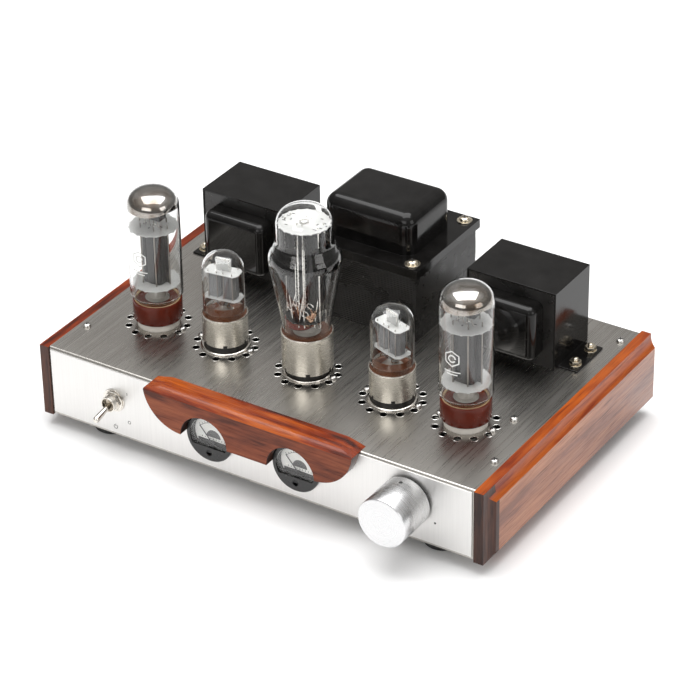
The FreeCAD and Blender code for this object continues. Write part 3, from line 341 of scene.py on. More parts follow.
def wood(name, dark, mid, light, grain="y", gloss=0.5, roughness=0.35, ring=26.0, shift=(0, 0, 0)):
    """Oiled or lacquered hardwood with its grain along an axis: rings, streaks and fine open pores."""
    look = Look(name, mid, roughness)
    look.set("Specular IOR Level", 0.2)
    look.set("Coat Weight", gloss)
    look.set("Coat Roughness", 0.08)
    stretch = {"x": (0.10, 1, 1), "y": (1, 0.10, 1), "z": (1, 1, 0.10)}[grain]
    long_stretch = {"x": (0.03, 1, 1), "y": (1, 0.03, 1), "z": (1, 1, 0.03)}[grain]
    where = look.coordinates(stretch, shift=shift)
    fibre_where = look.coordinates(long_stretch, shift=shift)
    figure = look.noise(where, ring, 4.0, 0.55, 1.6)
    streak = look.noise(where, ring * 7, 4.0, 0.6, 0.4)
    fibre = look.noise(fibre_where, 1500.0, 2.0, 0.6)
    blend = look.math("ADD", look.math("MULTIPLY", figure, 0.62), look.math("MULTIPLY", streak, 0.38))
    color = look.ramp(blend, [(0.39, dark), (0.49, mid), (0.59, light), (0.72, mid)])
    pores = look.ramp(fibre, [(0.30, (0.45, 0.40, 0.38)), (0.46, (1, 1, 1))])
    look.feed("Base Color", look.mix(0.75, color, pores, "MULTIPLY"))
    look.feed("Roughness", look.span(fibre, roughness + 0.18, roughness, 0.3, 0.55))
    look.bump(fibre, 0.03, 0.35)
    look.bump(streak, 0.05, 0.15)
    return look


def turned(name, color, roughness, middle):
    """Metal turned about an axis along Y: fine rings on the face and fine lines around the side."""
    look = Look(name, color, roughness, 1.0)
    where = look.coordinates(shift=(-middle.x, 0, -middle.z))
    across, along, up = (look.axis(where, name) for name in "XYZ")
    squares = [look.math("MULTIPLY", offset, offset) for offset in (across, up)]
    radius = look.math("SQRT", look.math("ADD", *squares))
    rings = look.add("ShaderNodeCombineXYZ", x=radius, y=along)
    lines = look.noise(rings.outputs[0], 2400.0, 2.0, 0.6)
    cloud = look.noise(where, 24.0, 2.0)
    dark = tuple(channel * 0.95 for channel in color)
    look.feed("Base Color", look.ramp(lines, [(0.3, dark), (0.7, color)]))
    look.feed("Roughness", look.math("ADD", look.span(lines, roughness - 0.03, roughness + 0.05, 0.3, 0.7),
                                     look.span(cloud, -0.02, 0.02, 0.3, 0.7)))
    look.bump(lines, 0.006, 0.3)
    return look


def enamel(name, color, roughness=0.12, peel=0.02, specular=0.28):
    """Sprayed gloss paint with a slight orange peel."""
    look = Look(name, color, roughness, 0.0)
    look.set("Specular IOR Level", specular)
    where = look.coordinates()
    peel_noise = look.noise(where, 420.0, 2.0)
    wear = look.noise(where, 60.0, 4.0, 0.6)
    look.feed("Roughness", look.span(wear, roughness * 0.8, roughness * 1.8, 0.35, 0.7))
    lighter = tuple(channel * 1.8 + 0.004 for channel in color)
    look.feed("Base Color", look.ramp(wear, [(0.35, color), (0.75, lighter)]))
    look.bump(peel_noise, peel, 0.6)
    return look


def plated(name, color, roughness=0.18, spin=False, tarnish=0.25, relief=0.003):
    """Plated or turned metal, faintly clouded."""
    look = Look(name, color, roughness, 1.0)
    where = look.coordinates((1, 1, 14) if spin else (1, 1, 1))
    cloud = look.noise(look.coordinates(), 45.0 if spin else 130.0, 4.0, 0.6)
    lines = look.noise(where, 260.0 if spin else 700.0, 2.0, 0.6)
    dark = tuple(channel * (1 - tarnish) for channel in color)
    look.feed("Base Color", look.ramp(cloud, [(0.3, dark), (0.62, color)]))
    look.feed("Roughness", look.span(lines, roughness - 0.05, roughness + 0.10, 0.3, 0.7))
    look.bump(lines, relief, 0.3)
    return look


def plastic(name, color, roughness=0.3, grain=0.02, mottle=0.15, specular=0.5):
    """Moulded plastic or rubber with a fine grain."""
    look = Look(name, color, roughness)
    look.set("Specular IOR Level", specular)
    where = look.coordinates()
    fine = look.noise(where, 1400.0, 2.0)
    cloud = look.noise(where, 90.0, 4.0, 0.6)
    dark = tuple(channel * (1 - mottle) for channel in color)
    light = tuple(channel * (1 + mottle) + 0.002 for channel in color)
    look.feed("Base Color", look.ramp(cloud, [(0.3, dark), (0.7, light)]))
    look.feed("Roughness", look.span(cloud, roughness - 0.06, roughness + 0.10, 0.3, 0.7))
    look.bump(fine, grain, 0.5)
    return look


def clear_glass(name, tint=(1, 1, 1)):
    look = Look(name, tint, 0.0, 0.0)
    look.set("Transmission Weight", 1.0)
    look.set("IOR", 1.40)
    where = look.coordinates()
    swell = look.noise(where, 26.0, 2.0, 0.5)
    look.feed("Base Color", look.ramp(swell, [(0.3, (0.97, 0.98, 0.975)), (0.7, tint)]))
    look.bump(swell, 0.05, 0.25)
    return look


def getter_film(name, brightness):
    """Barium mirror: dark metal with a brown, cloudy cast, its tints scaled by brightness; a low brightness
    paints in the dark reflection of dark surroundings.
    """
    tints = [tuple(channel * brightness for channel in tint)
             for tint in ((0.20, 0.15, 0.11), (0.36, 0.33, 0.30), (0.46, 0.44, 0.42))]
    look = Look(name, tints[1], 0.05, 1.0)
    cloud = look.noise(look.coordinates(), 90.0, 4.0, 0.55, 0.6)
    look.feed("Base Color", look.ramp(cloud, list(zip((0.32, 0.5, 0.7), tints))))
    look.feed("Roughness", look.span(cloud, 0.10, 0.03, 0.3, 0.6))
    look.bump(cloud, 0.05, 0.2)
    return look


# ---------------------------------------------------------------- mesh tools

def add_piece(name, mesh, body, looks, slot=None, replaces=(), smooth_angle=32):
    piece = bpy.data.objects.new(name, mesh)
    bpy.context.scene.collection.objects.link(piece)
    if not isinstance(looks, (list, tuple)):
        looks = [looks]
    for look in looks:
        mesh.materials.append(look.material)
    if smooth_angle is not None:
        mesh.shade_smooth()
        mesh.set_sharp_from_angle(angle=math.radians(smooth_angle))
    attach(piece, body)
    if replaces:
        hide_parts(*replaces)
    return piece


def bevel(piece, width, segments=3, angle=35):
    """Rounded edges, in millimetres."""
    modifier = piece.modifiers.new("edge_round", "BEVEL")
    modifier.width = width * MM
    modifier.segments = segments
    modifier.limit_method = "ANGLE"
    modifier.angle_limit = math.radians(angle)
    modifier.harden_normals = False
    return piece


def clean_copy(node):
    """A copy of a CAD node's mesh with its vertices joined and its flat faces whole."""
    source = NODES[node].data
    build = bmesh.new()
    build.from_mesh(source)
    bmesh.ops.remove_doubles(build, verts=build.verts, dist=0.002 * MM)
    bmesh.ops.dissolve_limit(build, angle_limit=math.radians(0.5), verts=build.verts, edges=build.edges)
    bmesh.ops.recalc_face_normals(build, faces=build.faces)
    mesh = bpy.data.meshes.new(node + "_fine")
    build.to_mesh(mesh)
    build.free()
    return mesh


def refine(node, look, width=0.3, segments=3, smooth_angle=32):
    """The node's shape again, with rounded edges and a finished material."""
    mesh = clean_copy(node)
    piece = add_piece(node + "_fine", mesh, NODE_BODY[node], look, NODE_SLOT[node], (node,), smooth_angle)
    if width:
        bevel(piece, width, segments)
    return piece


def paint(piece, looks, pick):
    """Give each face one of several looks, chosen from its normal and middle."""
    mesh = piece.data
    mesh.materials.clear()
    for look in looks:
        mesh.materials.append(look.material)
    for polygon in mesh.polygons:
        polygon.material_index = pick(polygon.normal, polygon.center)
    return piece


def split_at(piece, y):
    """Cut the faces of a piece along a plane across Y, so that its end can have its own look."""
    build = bmesh.new()
    build.from_mesh(piece.data)
    parts = build.verts[:] + build.edges[:] + build.faces[:]
    bmesh.ops.bisect_plane(build, geom=parts, plane_co=(0, y, 0), plane_no=(0, 1, 0))
    build.to_mesh(piece.data)
    build.free()


def centre_of(node):
    low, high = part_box(node)
    return (low + high) / 2


POLE = 1e-5


class Build:
    """Collects closed shapes in one mesh, in millimetres, each with its own material."""

    def __init__(self, origin=(0, 0, 0)):
        self.mesh = bmesh.new()
        self.looks = []
        self.place = shift_by(*origin)

    def slot_of(self, look):
        if look not in self.looks:
            self.looks.append(look)
        return self.looks.index(look)

    def face(self, corners, slot):
        unique = list(dict.fromkeys(corners))
        if len(unique) > 2:
            made = self.mesh.faces.new(unique)
            made.material_index = slot

    def skin(self, look, rings, closed=False, capped=True):
        """Faces between rings of points; a ring of one point is a pole."""
        slot = self.slot_of(look)
        made = [[self.mesh.verts.new(self.place @ Vector(point)) for point in ring] for ring in rings]
        pairs = list(zip(made, made[1:]))
        if closed:
            pairs.append((made[-1], made[0]))
        for lower, upper in pairs:
            count = max(len(lower), len(upper))
            for step in range(count):
                following = (step + 1) % count
                self.face([lower[step % len(lower)], lower[following % len(lower)],
                           upper[following % len(upper)], upper[step % len(upper)]], slot)
        if capped and not closed:
            for ring in (made[0], made[-1]):
                if len(ring) > 2:
                    self.face(ring, slot)

    def lathe(self, look, profile, segments=64, turn=None, capped=True, closed=False):
        """Turned shape from (radius, height) points; turn carries it from the Z axis."""
        turn = turn or Matrix.Identity(4)
        rings = []
        for radius, height in profile:
            count = 1 if radius < POLE else segments
            rings.append([
                turn @ Vector((radius * math.cos(2 * math.pi * step / segments),
                               radius * math.sin(2 * math.pi * step / segments), height))
                for step in range(count)
            ])
        self.skin(look, rings, closed, capped)

    def prism(self, look, outline, low, high, turn=None, shrink=0.0):
        """Upright prism; shrink draws in its rims to round them a little."""
        turn = turn or Matrix.Identity(4)

        def ring(height, scale):
            return [turn @ Vector((x * scale, y * scale, height)) for x, y in outline]

        reach = max(math.hypot(x, y) for x, y in outline)
        small = 1 - shrink / reach
        if shrink:
            rings = [ring(low, small), ring(low + shrink, 1), ring(high - shrink, 1), ring(high, small)]
        else:
            rings = [ring(low, 1), ring(high, 1)]
        self.skin(look, rings)

    def box(self, look, size, centre, turn=None):
        """Block about a centre."""
        width, depth, height = size
        place = (turn or Matrix.Identity(4)) @ shift_by(*centre)
        self.prism(look, rectangle(width / 2, depth / 2), -height / 2, height / 2, place)

    def pipe(self, look, points, radius, sides=10):
        """Round wire through points."""
        points = [Vector(point) for point in points]
        rings = []
        side = None
        for index, point in enumerate(points):
            ahead = points[min(index + 1, len(points) - 1)] - points[max(index - 1, 0)]
            ahead.normalize()
            if side is None:
                side = ahead.orthogonal().normalized()
            side = (side - ahead * side.dot(ahead)).normalized()
            other = ahead.cross(side)
            rings.append([
                point + radius * (side * math.cos(2 * math.pi * step / sides)
                                  + other * math.sin(2 * math.pi * step / sides))
                for step in range(sides)
            ])
        self.skin(look, rings)

    def finish(self, name, body, slot=None, replaces=(), smooth_angle=32):
        bmesh.ops.recalc_face_normals(self.mesh, faces=self.mesh.faces)
        bmesh.ops.scale(self.mesh, vec=(MM, MM, MM), verts=self.mesh.verts)
        mesh = bpy.data.meshes.new(name)
        self.mesh.to_mesh(mesh)
        self.mesh.free()
        return add_piece(name, mesh, body, self.looks, slot, replaces, smooth_angle)


# ---------------------------------------------------------------- tubes

PIN_CIRCLE, PIN_RADIUS, KEY_RADIUS = 8.73, 1.18, 4.0
FILM_GAP, FILM_THICKNESS = 1.05, 0.12
MICA_HALF = 0.25
VENT_CIRCLE = 20.6
FRONT_FACING = -90.0


class TubePlace:
    """Axis and heights of one tube, in millimetres above the deck."""

    def __init__(self, tube):
        self.tube = tube
        low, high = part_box(tube + "_glass")
        base_low, base_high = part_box(tube + "_base")
        self.origin = ((low.x + high.x) / 2 / MM, (base_low.y + base_high.y) / 2 / MM, DECK / MM)
        self.radius = (high.x - low.x) / 2 / MM
        self.top = (high.z - DECK) / MM
        self.base_radius = (base_high.x - base_low.x) / 2 / MM
        self.base_top = (base_high.z - DECK) / MM
        self.pin_low = (base_low.z - DECK) / MM
        self.seat = (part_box("tube_sockets")[1].z - DECK) / MM


def drawn_in(profile, wall):
    """The line a wall's thickness inside a profile of (radius, height) points."""
    inner = []
    for index, (radius, height) in enumerate(profile):
        before = profile[max(index - 1, 0)]
        after = profile[min(index + 1, len(profile) - 1)]
        along = Vector((after[0] - before[0], after[1] - before[1])).normalized()
        inner.append((max(0.0, radius - wall * along.y), height + wall * along.x))
    inner[-1] = (0.0, profile[-1][1] - wall)
    return inner


def dome(radius, top, height, squareness=2.35, steps=16):
    """Crown of a straight bulb, a little flatter than a half ball."""
    power = 2 / squareness
    points = []
    for step in range(steps + 1):
        angle = math.pi / 2 * step / steps
        rise = height * math.sin(angle) ** power
        points.append((radius * abs(math.cos(angle)) ** power, top - height + rise))
    points[-1] = (0.0, top)
    return points


def add_glass(place, profile, look, wall=0.9):
    build = Build(place.origin)
    build.lathe(look, profile + drawn_in(profile, wall)[::-1], 72, closed=True)
    bulb = build.finish(place.tube + "_bulb", place.tube, "tube_glass", (place.tube + "_glass",), 50)
    bulb.visible_shadow = False


def film(build, look, profile, first, last, sway=0.8, span=(0.0, 360.0), seed=3):
    """Mirror film on the inside of the glass, with an uneven rim, over part of the way round."""
    line = drawn_in(profile, FILM_GAP)[first:last]
    rng = random.Random(seed)
    phases = [rng.uniform(0, 6.28) for wave in range(3)]
    start, reach = span[0], span[1] - span[0]
    whole = reach >= 360
    steps = 60 if whole else max(8, int(reach / 5))
    angles = [math.radians(start + reach * step / steps) for step in range(steps + (not whole))]

    def ripple(angle):
        return sum(math.sin((k + 2) * angle + phases[k]) / (k + 1.5) for k in range(3))

    sheets = []
    for inset in (0.0, FILM_THICKNESS):
        rows = []
        for row, (radius, height) in enumerate(line):
            share = 1 - min(1.0, row / 4)
            small = radius - inset
            ring = [(small * math.cos(angle), small * math.sin(angle), height + sway * share * ripple(angle))
                    for angle in angles]
            if radius < 1e-4:
                ring = [(0, 0, height - inset)]
            rows.append([build.mesh.verts.new(build.place @ Vector(point)) for point in ring])
        sheets.append(rows)
    outer, inner = sheets
    strips = list(zip(outer, outer[1:])) + list(zip(inner, inner[1:])) + [(outer[0], inner[0])]
    if len(outer[-1]) > 1:
        strips.append((outer[-1], inner[-1]))
    slot, count = build.slot_of(look), len(angles)
    for one, other in strips:
        for step in range(count if whole else count - 1):
            ahead = (step + 1) % count
            build.face([one[step % len(one)], one[ahead % len(one)],
                        other[ahead % len(other)], other[step % len(other)]], slot)
    if not whole:
        for column in (0, -1):
            for row in range(len(outer) - 1):
                rings = (outer[row], outer[row + 1], inner[row + 1], inner[row])
                build.face([ring[column % len(ring)] for ring in rings], slot)


def disc_mica(build, look, dark, radius, height, teeth=12, holes=()):
    """Mica disc with small teeth that grip the glass, and black blocks set in it as painted shade for the
    dark seen through its slots.
    """
    outline = []
    for tooth in range(teeth):
        start = 360 / teeth * tooth
        outline += arc((0, 0), radius - 0.7, start, start + 360 / teeth - 7, 4)
        outline += arc((0, 0), radius, start + 360 / teeth - 6, start + 360 / teeth - 1, 1)
    build.prism(look, outline, height - MICA_HALF, height + MICA_HALF)
    # Black blocks for the slots: painted shade in place of open holes.
    for x, y, width, depth in holes:
        build.box(dark, (width, depth, 0.62), (x, y, height))


def plate_mica(build, look, width, depth, height, cut=2.5, turn=0.0):
    """Flat mica with cut corners."""
    across, along = width / 2, depth / 2
    outline = [(across - cut, -along), (across, -along + cut), (across, along - cut), (across - cut, along)]
    outline += [(-x, -y) for x, y in outline]
    build.prism(look, outline, height - MICA_HALF, height + MICA_HALF, turn_about("Z", turn))


def anode(build, look, width, depth, low, high, middle=(0.0, 0.0), ribs=3, turn=0.0, wing=0.0):
    """Folded sheet anode: rounded box with pressed ribs, and a seam wing at each end."""
    shift = shift_by(*middle) @ turn_about("Z", turn)
    build.prism(look, rounded_outline(width, depth, min(width, depth) * 0.3, 5), low, high, shift)
    height, level = high - low, (low + high) / 2
    for rib in range(ribs):
        x = (rib - (ribs - 1) / 2) * width / (ribs + 0.6)
        for side in (-1, 1):
            build.box(look, (0.9, 0.8, height - 4), (x, side * depth / 2, level), shift)
    for side in (-1, 1):
        if wing:
            build.box(look, (wing, 0.5, height - 1.0), (side * (width / 2 + wing / 2), 0, level), shift)
        build.box(look, (0.5, depth * 0.55, height - 1.0), (side * (width / 2 + 0.1), 0, level), shift)


def stem(build, looks, low, high, spread, pins=7, seat_radius=5.0):
    """Glass press with its fan of lead wires up to the lower mica."""
    press = [(0, low), (seat_radius + 3.5, low), (seat_radius + 1, low + 1.2), (seat_radius, low + 4),
             (seat_radius * 0.7, low + 6.2), (0, low + 6.4)]
    build.lathe(looks["press_glass"], press, 32)
    for pin in range(pins):
        angle = 2 * math.pi * (pin + 0.5) / pins
        foot = (seat_radius * 0.6 * math.cos(angle), seat_radius * 0.6 * math.sin(angle), low + 5.5)
        bend = (spread * 0.8 * math.cos(angle), spread * 0.6 * math.sin(angle), (low + 6 + high) / 2)
        tip = (spread * math.cos(angle + 0.2), spread * 0.6 * math.sin(angle + 0.2), high)
        build.pipe(looks["lead_wire"], [foot, bend, tip], 0.42, 8)


def stroke(build, look, path, width, radius, facing, closed=False):
    """Printed line on the bulb along a path of (across, height) points."""
    rings = []
    for (across, height), side in sides_of(path, width, closed):
        ring = []
        for sign, lift in ((-1, -0.02), (1, -0.02), (1, 0.05), (-1, 0.05)):
            angle = math.radians(facing) + (across + sign * side.x) / radius
            reach = radius + lift
            ring.append((reach * math.cos(angle), reach * math.sin(angle), height + sign * side.y))
        rings.append(ring)
    build.skin(look, rings, closed)


def add_print(place, looks, middle):
    """Plain white mark: a hexagon around a ring, over two bars."""
    build = Build(place.origin)
    hexagon = stepped(arc((0, middle), 5.6, 30, 330, 5), 5)
    stroke(build, looks["print"], hexagon, 0.9, place.radius, FRONT_FACING, True)
    stroke(build, looks["print"], arc((0, middle), 2.4, 0, 330, 22), 1.1, place.radius, FRONT_FACING)
    for reach, drop in ((6.0, 9.6), (4.0, 11.6)):
        bar = straight_path((-reach, middle - drop), (reach, middle - drop), 10)
        stroke(build, looks["print"], bar, 0.8, place.radius, FRONT_FACING)
    build.finish(place.tube + "_print", place.tube, "ceramic", smooth_angle=60)


def octal_pins(build, look, place):
    low, high = place.pin_low + 2, place.seat + 0.5
    pin = [(0, low), (0.5, low + 0.1), (PIN_RADIUS, low + 0.9), (PIN_RADIUS, high), (0, high)]
    for step in range(8):
        build.lathe(look, pin, 16, shift_by(*polar(PIN_CIRCLE, 22.5 + 45 * step)))


def locating_key(build, look, place):
    low, high = place.pin_low, place.seat + 0.5
    plug = [(0, low), (KEY_RADIUS - 1, low), (KEY_RADIUS, low + 1), (KEY_RADIUS, high), (0, high)]
    build.lathe(look, plug, 32)
    build.box(look, (1.4, 1.0, high - low - 1), (0, -KEY_RADIUS - 0.3, (low + high) / 2 + 0.5))


def add_brown_base(place, looks):
    build = Build(place.origin)
    low, top, radius = place.seat, place.base_top, place.base_radius
    body = [(0, low), (radius - 1.6, low), (radius - 0.5, low + 0.5), (radius, low + 1.4),
            (radius, top - 0.9), (radius - 0.25, top - 0.25), (radius - 0.7, top), (radius - 1.0, top - 0.2),
            (radius - 1.1, top - 1.5), (0, top - 1.5)]
    build.lathe(looks["brown_base"], body, 96)
    seam = radius - 1.1
    cement = [(seam - 1.4, top - 1.5), (seam - 0.02, top - 1.5), (seam - 0.05, top - 0.5),
              (seam - 0.7, top - 0.2), (seam - 1.4, top - 0.4)]
    build.lathe(looks["cement"], cement, 96, closed=True)
    octal_pins(build, looks["pin_nickel"], place)
    locating_key(build, looks["brown_base"], place)
    build.finish(place.tube + "_socket_base", place.tube, "brown_base", (place.tube + "_base",), 40)


def add_metal_base(place, looks):
    """Nickel sleeve with a rolled rim and three notches over a dark wafer."""
    build = Build(place.origin)
    low, top, radius = place.seat, place.base_top, place.base_radius
    hem, notch = low + 0.6, 1.9
    sleeve = [(radius - 0.6, hem + notch), (radius, hem + notch), (radius, top - 1.5),
              (radius + 0.25, top - 1.0), (radius + 0.3, top - 0.5), (radius + 0.05, top - 0.05),
              (radius - 0.35, top), (radius - 0.6, top - 0.3)]
    build.lathe(looks["plated_base"], sleeve, 96, closed=True)
    for sector in range(6):
        start = 60 * sector + 8
        foot = arc((0, 0), radius, start, start + 50, 16) + arc((0, 0), radius - 0.6, start + 50, start, 16)
        build.prism(looks["plated_base"], foot, hem, hem + notch + 0.01)
    wafer = [(0, low), (radius - 1.1, low), (radius - 0.75, low + 0.4), (radius - 0.75, top - 1.5),
             (0, top - 1.5)]
    build.lathe(looks["wafer"], wafer, 72)
    seal = [(0, top - 1.48), (radius - 0.85, top - 1.48), (radius - 0.85, top - 1.2), (0, top - 1.2)]
    build.lathe(looks["brown_tint"], seal, 48)
    octal_pins(build, looks["pin_nickel"], place)
    locating_key(build, looks["wafer"], place)
    build.finish(place.tube + "_socket_base", place.tube, "plated_base", (place.tube + "_base",), 40)


def straight_profile(place, flare, crown):
    """Outline of a straight bulb from its foot in the base to its crown."""
    foot = place.base_radius - 1.9
    low = place.base_top - 1.4
    rise = [(foot, low), (foot, low + 1.5)]
    steps = 6
    for step in range(1, steps + 1):
        share = step / steps
        swell = (place.radius - foot) * (1 - math.cos(math.pi * share)) / 2
        rise.append((foot + swell, low + 1.5 + flare * share))
    return rise + dome(place.radius, place.top, crown)


def add_power_tube(tube, looks):
    place = TubePlace(tube)
    crown_height = 13.4
    profile = straight_profile(place, 4.5, crown_height)
    add_glass(place, profile, looks["tube_glass"])
    build = Build(place.origin)
    top, lower, upper = place.top, 33.0, 76.0
    crown = next(index for index, point in enumerate(profile) if point[1] > top - crown_height - 0.01)
    brim = [(place.radius, top - crown_height + lift) for lift in (0.6, 1.5)]
    mirror = profile[:crown] + brim + profile[crown + 1:]
    film(build, looks["getter"], mirror, crown, len(mirror), sway=0.9)
    holes = [(-6.5, 0, 2.0, 0.8), (6.5, 0, 2.0, 0.8), (0, -5.2, 0.9, 1.6), (0, 5.2, 0.9, 1.6)]
    disc_mica(build, looks["mica"], looks["carbon"], place.radius - 1.0, upper, 16, holes)
    disc_mica(build, looks["mica"], looks["carbon"], place.radius - 1.2, lower, 14, holes)
    anode(build, looks["anode"], 15.5, 12.5, lower + 0.6, upper - 0.6, ribs=2, wing=4.2)
    for x, y in ((-11.5, 0), (11.5, 0), (-5.5, 7.4), (5.5, 7.4), (-5.5, -7.4), (5.5, -7.4)):
        build.pipe(looks["lead_wire"], [(x, y, lower - 2), (x, y, upper + 3.5)], 0.5, 8)
    build.box(looks["carbon"], (15.0, 7.5, 5.6), (0, 0.6, upper + 8.6))
    build.box(looks["anode"], (13.0, 5.5, 1.0), (0, 0.6, upper + 12.0))
    for x, lean in ((-4.6, -1.6), (-1.4, 0.9), (2.0, -0.7), (5.0, 1.7)):
        wire = [(x + lean, -2.6, upper + 0.4), (x, -2.2, upper + 3), (x, -1.8, upper + 7)]
        build.pipe(looks["lead_wire"], wire, 0.38, 8)
    for x in (-3.2, 3.4):
        loop = [(x + 1.3 * math.cos(a / 8 * math.pi), -3.6, upper + 2.6 + 1.3 * math.sin(a / 8 * math.pi))
                for a in range(13)]
        build.pipe(looks["bright_wire"], loop, 0.3, 8)
    stem(build, looks, place.base_top - 0.3, lower - 0.4, 9.5, 9)
    build.finish(tube + "_works", tube, "electrode_metal", (tube + "_electrodes",))
    add_print(place, looks, 58.0)
    add_brown_base(place, looks)


def add_driver_tube(tube, looks, turn):
    place = TubePlace(tube)
    profile = straight_profile(place, 4.0, 14.0)
    add_glass(place, profile, looks["tube_glass"])
    build = Build(place.origin)
    lower, upper = 38.0, 57.0
    spin = turn_about("Z", turn)
    plate_mica(build, looks["mica"], 25.0, 12.5, upper, turn=turn)
    plate_mica(build, looks["mica"], 26.0, 13.5, lower, turn=turn)
    for side in (-1, 1):
        middle = spin @ Vector((side * 5.6, 0, 0))
        anode(build, looks["anode_light"], 8.6, 8.4, lower + 0.5, upper - 0.5, (middle.x, middle.y), 1, turn)
        for x, y in ((-3.2, 4.8), (3.2, 4.8), (-3.2, -4.8), (3.2, -4.8)):
            post = spin @ Vector((side * 5.6 + x, y, 0))
            ends = [(post.x, post.y, lower - 2), (post.x, post.y, upper + 1.6)]
            build.pipe(looks["lead_wire"], ends, 0.34, 8)
    top = spin @ Vector((0.5, 0, 0))
    holder = shift_by(top.x, top.y, upper + 5.2) @ spin @ turn_about("X", 12)
    shield = rounded_outline(11.5, 9.5, 1.4, 3)
    build.prism(looks["mica"], shield, -MICA_HALF, MICA_HALF, holder @ turn_about("X", 78))
    build.box(looks["bright_wire"], (10.0, 0.6, 1.2), (0, 0, 4.2), holder)
    for x in (-5.0, 5.0):
        foot, tip = spin @ Vector((x, 0, upper)), spin @ Vector((x * 0.9, 0, upper + 9.0))
        build.pipe(looks["bright_wire"], [foot, tip], 0.4, 8)
    low = place.base_top - 0.3
    wall = place.radius - 1.3
    tint = [(wall, low + 3.4), (wall, low + 8.6), (wall - 0.12, low + 8.6), (wall - 0.12, low + 3.4)]
    build.lathe(looks["brown_tint"], tint, 64, closed=True)
    stem(build, looks, low, lower - 0.4, 8.5, 8, 4.2)
    for side in (-1, 1):
        wave = []
        for step in range(13):
            angle = step / 12 * math.pi * 2
            point = spin @ Vector((side * 5.5 + 1.6 * math.cos(angle), 4.4 * math.sin(angle) - 1.0, 0))
            wave.append((point.x, point.y, lower - 3.2 - 0.25 * step))
        build.pipe(looks["copper"], wave, 0.32, 8)
    build.finish(tube + "_works", tube, "electrode_metal", (tube + "_electrodes",))
    add_metal_base(place, looks)


def add_filament_wires(build, looks):
    """Loops, leads, beads and cup at the foot of the rectifier's anodes."""
    loops = ((-5.0, -9.0, 52.0, 3.4), (-1.0, -10.0, 57.0, 2.6), (4.6, -9.4, 50.0, 3.0),
             (7.8, -7.4, 56.0, 2.4))
    for x, y, z, size in loops:
        path = []
        for step in range(17):
            angle = step / 10 * math.pi
            path.append((x + size * math.cos(angle), y + 0.3 * step / 10, z + size * 0.8 * math.sin(angle)))
        build.pipe(looks["bright_wire"], path, 0.42, 8)
        lead = [(x, y + 1, z - size), (x + 0.8, y + 2, 40), (x * 0.6, y * 0.4, 37.5)]
        build.pipe(looks["copper"], lead, 0.5, 8)
    leads = ((-9, -7, 63, 5), (-4, -10, 60, -4), (1, -11, 64, 3), (5, -10, 58, -3), (10, -6, 62, 2))
    for x, y, z, lean in leads:
        wire = [(x, y, 40), (x + lean * 0.4, y + 1.0, (40 + z) / 2), (x + lean, y + 2.2, z)]
        build.pipe(looks["bright_wire"], wire, 0.45, 8)
    bead = [(0, -2.6), (1.5, -2.6), (1.9, -2.0), (1.9, 2.0), (1.5, 2.6), (0, 2.6)]
    for x, z in ((7.0, 46.0), (10.0, 50.0), (4.0, 41.0)):
        build.lathe(looks["copper"], bead, 20, shift_by(x, -7.0, z) @ turn_about("Y", 20 * x))
    cup = [(0, 35.5), (7.5, 35.5), (9.6, 37.5), (10.4, 42.5), (9.6, 43.2), (6.0, 42.0), (0, 41.6)]
    build.lathe(looks["red_cup"], cup, 40, shift_by(-3.4, -2.2))


def add_rectifier(tube, looks):
    place = TubePlace(tube)
    foot = place.base_radius - 1.6
    low = place.base_top - 1.4
    belly, neck, shoulder = place.radius, 19.1, 99.5
    profile = [(foot, low), (foot, low + 2.5), (foot + 0.25, low + 4.5)]
    cone_low, cone_high = (foot + 0.8, low + 7.5), (belly - 0.62, 80.5)
    profile += straight_path(cone_low, cone_high, 10)
    profile += arc((belly - 11.0, 86.6), 11.0, -14, 44, 9)[1:]
    profile += arc((neck + 6.0, shoulder + 1.4), 6.0, 222, 180, 6)
    profile += straight_path((neck, shoulder + 3.0), (neck, place.top - 14.6), 2)
    profile += dome(neck, place.top, 13.8, 2.25)
    add_glass(place, profile, looks["tube_glass"])
    build = Build(place.origin)
    first = next(index for index, point in enumerate(profile) if point[1] > 82.0)
    last = next(index for index, point in enumerate(profile) if point[1] > shoulder + 4)
    # Near-black film: painted reflection of dark surroundings on the rectifier's mirror.
    film(build, looks["getter_film_painted_dark"], profile, first, last, sway=0.5, span=(-44, 286), seed=5)
    upper, lower = 113.4, 44.0
    slots = ((11.5, -5.5, 2.6, 0.9), (13.8, -2.0, 2.0, 0.9), (9.5, 1.0, 0.9, 2.4),
             (12.6, 4.6, 2.4, 0.9), (8.0, 9.0, 2.2, 0.8), (15.6, 2.0, 0.9, 1.4))
    marks = [(side * x, side * y, width, depth) for side in (-1, 1) for x, y, width, depth in slots]
    disc_mica(build, looks["mica"], looks["carbon"], neck - 1.3, upper, 18, marks)
    eyelet = [(2.0, upper + 0.26), (3.6, upper + 0.26), (3.4, upper + 0.8), (2.2, upper + 0.8)]
    build.lathe(looks["bright_wire"], eyelet, 24, closed=True)
    disc_mica(build, looks["carbon_plate"], looks["carbon"], 14.5, lower, 12)
    for side in (-1, 1):
        anode(build, looks["carbon_plate"], 12.6, 9.0, lower + 8, upper - 6, (side * 7.6, 0), 2, 0.0, 1.6)
        for x, y in ((2.0, -5.6), (12.8, -3.4), (12.8, 3.4), (2.0, 5.6)):
            post = [(side * x, y, lower - 4), (side * x, y, upper + 1.2)]
            build.pipe(looks["bright_wire"], post, 0.62, 10)
        strap = (0.5, 1.8, upper - lower - 18)
        build.box(looks["bright_wire"], strap, (side * 3.6, -5.6, (upper + lower) / 2))
    add_filament_wires(build, looks)
    stem(build, looks, place.base_top - 0.3, lower - 0.4, 11.0, 8, 6.0)
    build.finish(tube + "_works", tube, "electrode_metal", (tube + "_electrodes",))
    add_metal_base(place, looks)


def add_tubes(looks):
    add_power_tube("power_tube_left", looks)
    add_power_tube("power_tube_right", looks)
    add_driver_tube("driver_tube_left", looks, 8.0)
    add_driver_tube("driver_tube_right", looks, -18.0)
    add_rectifier("rectifier_tube", looks)
    add_deck_rims(looks)


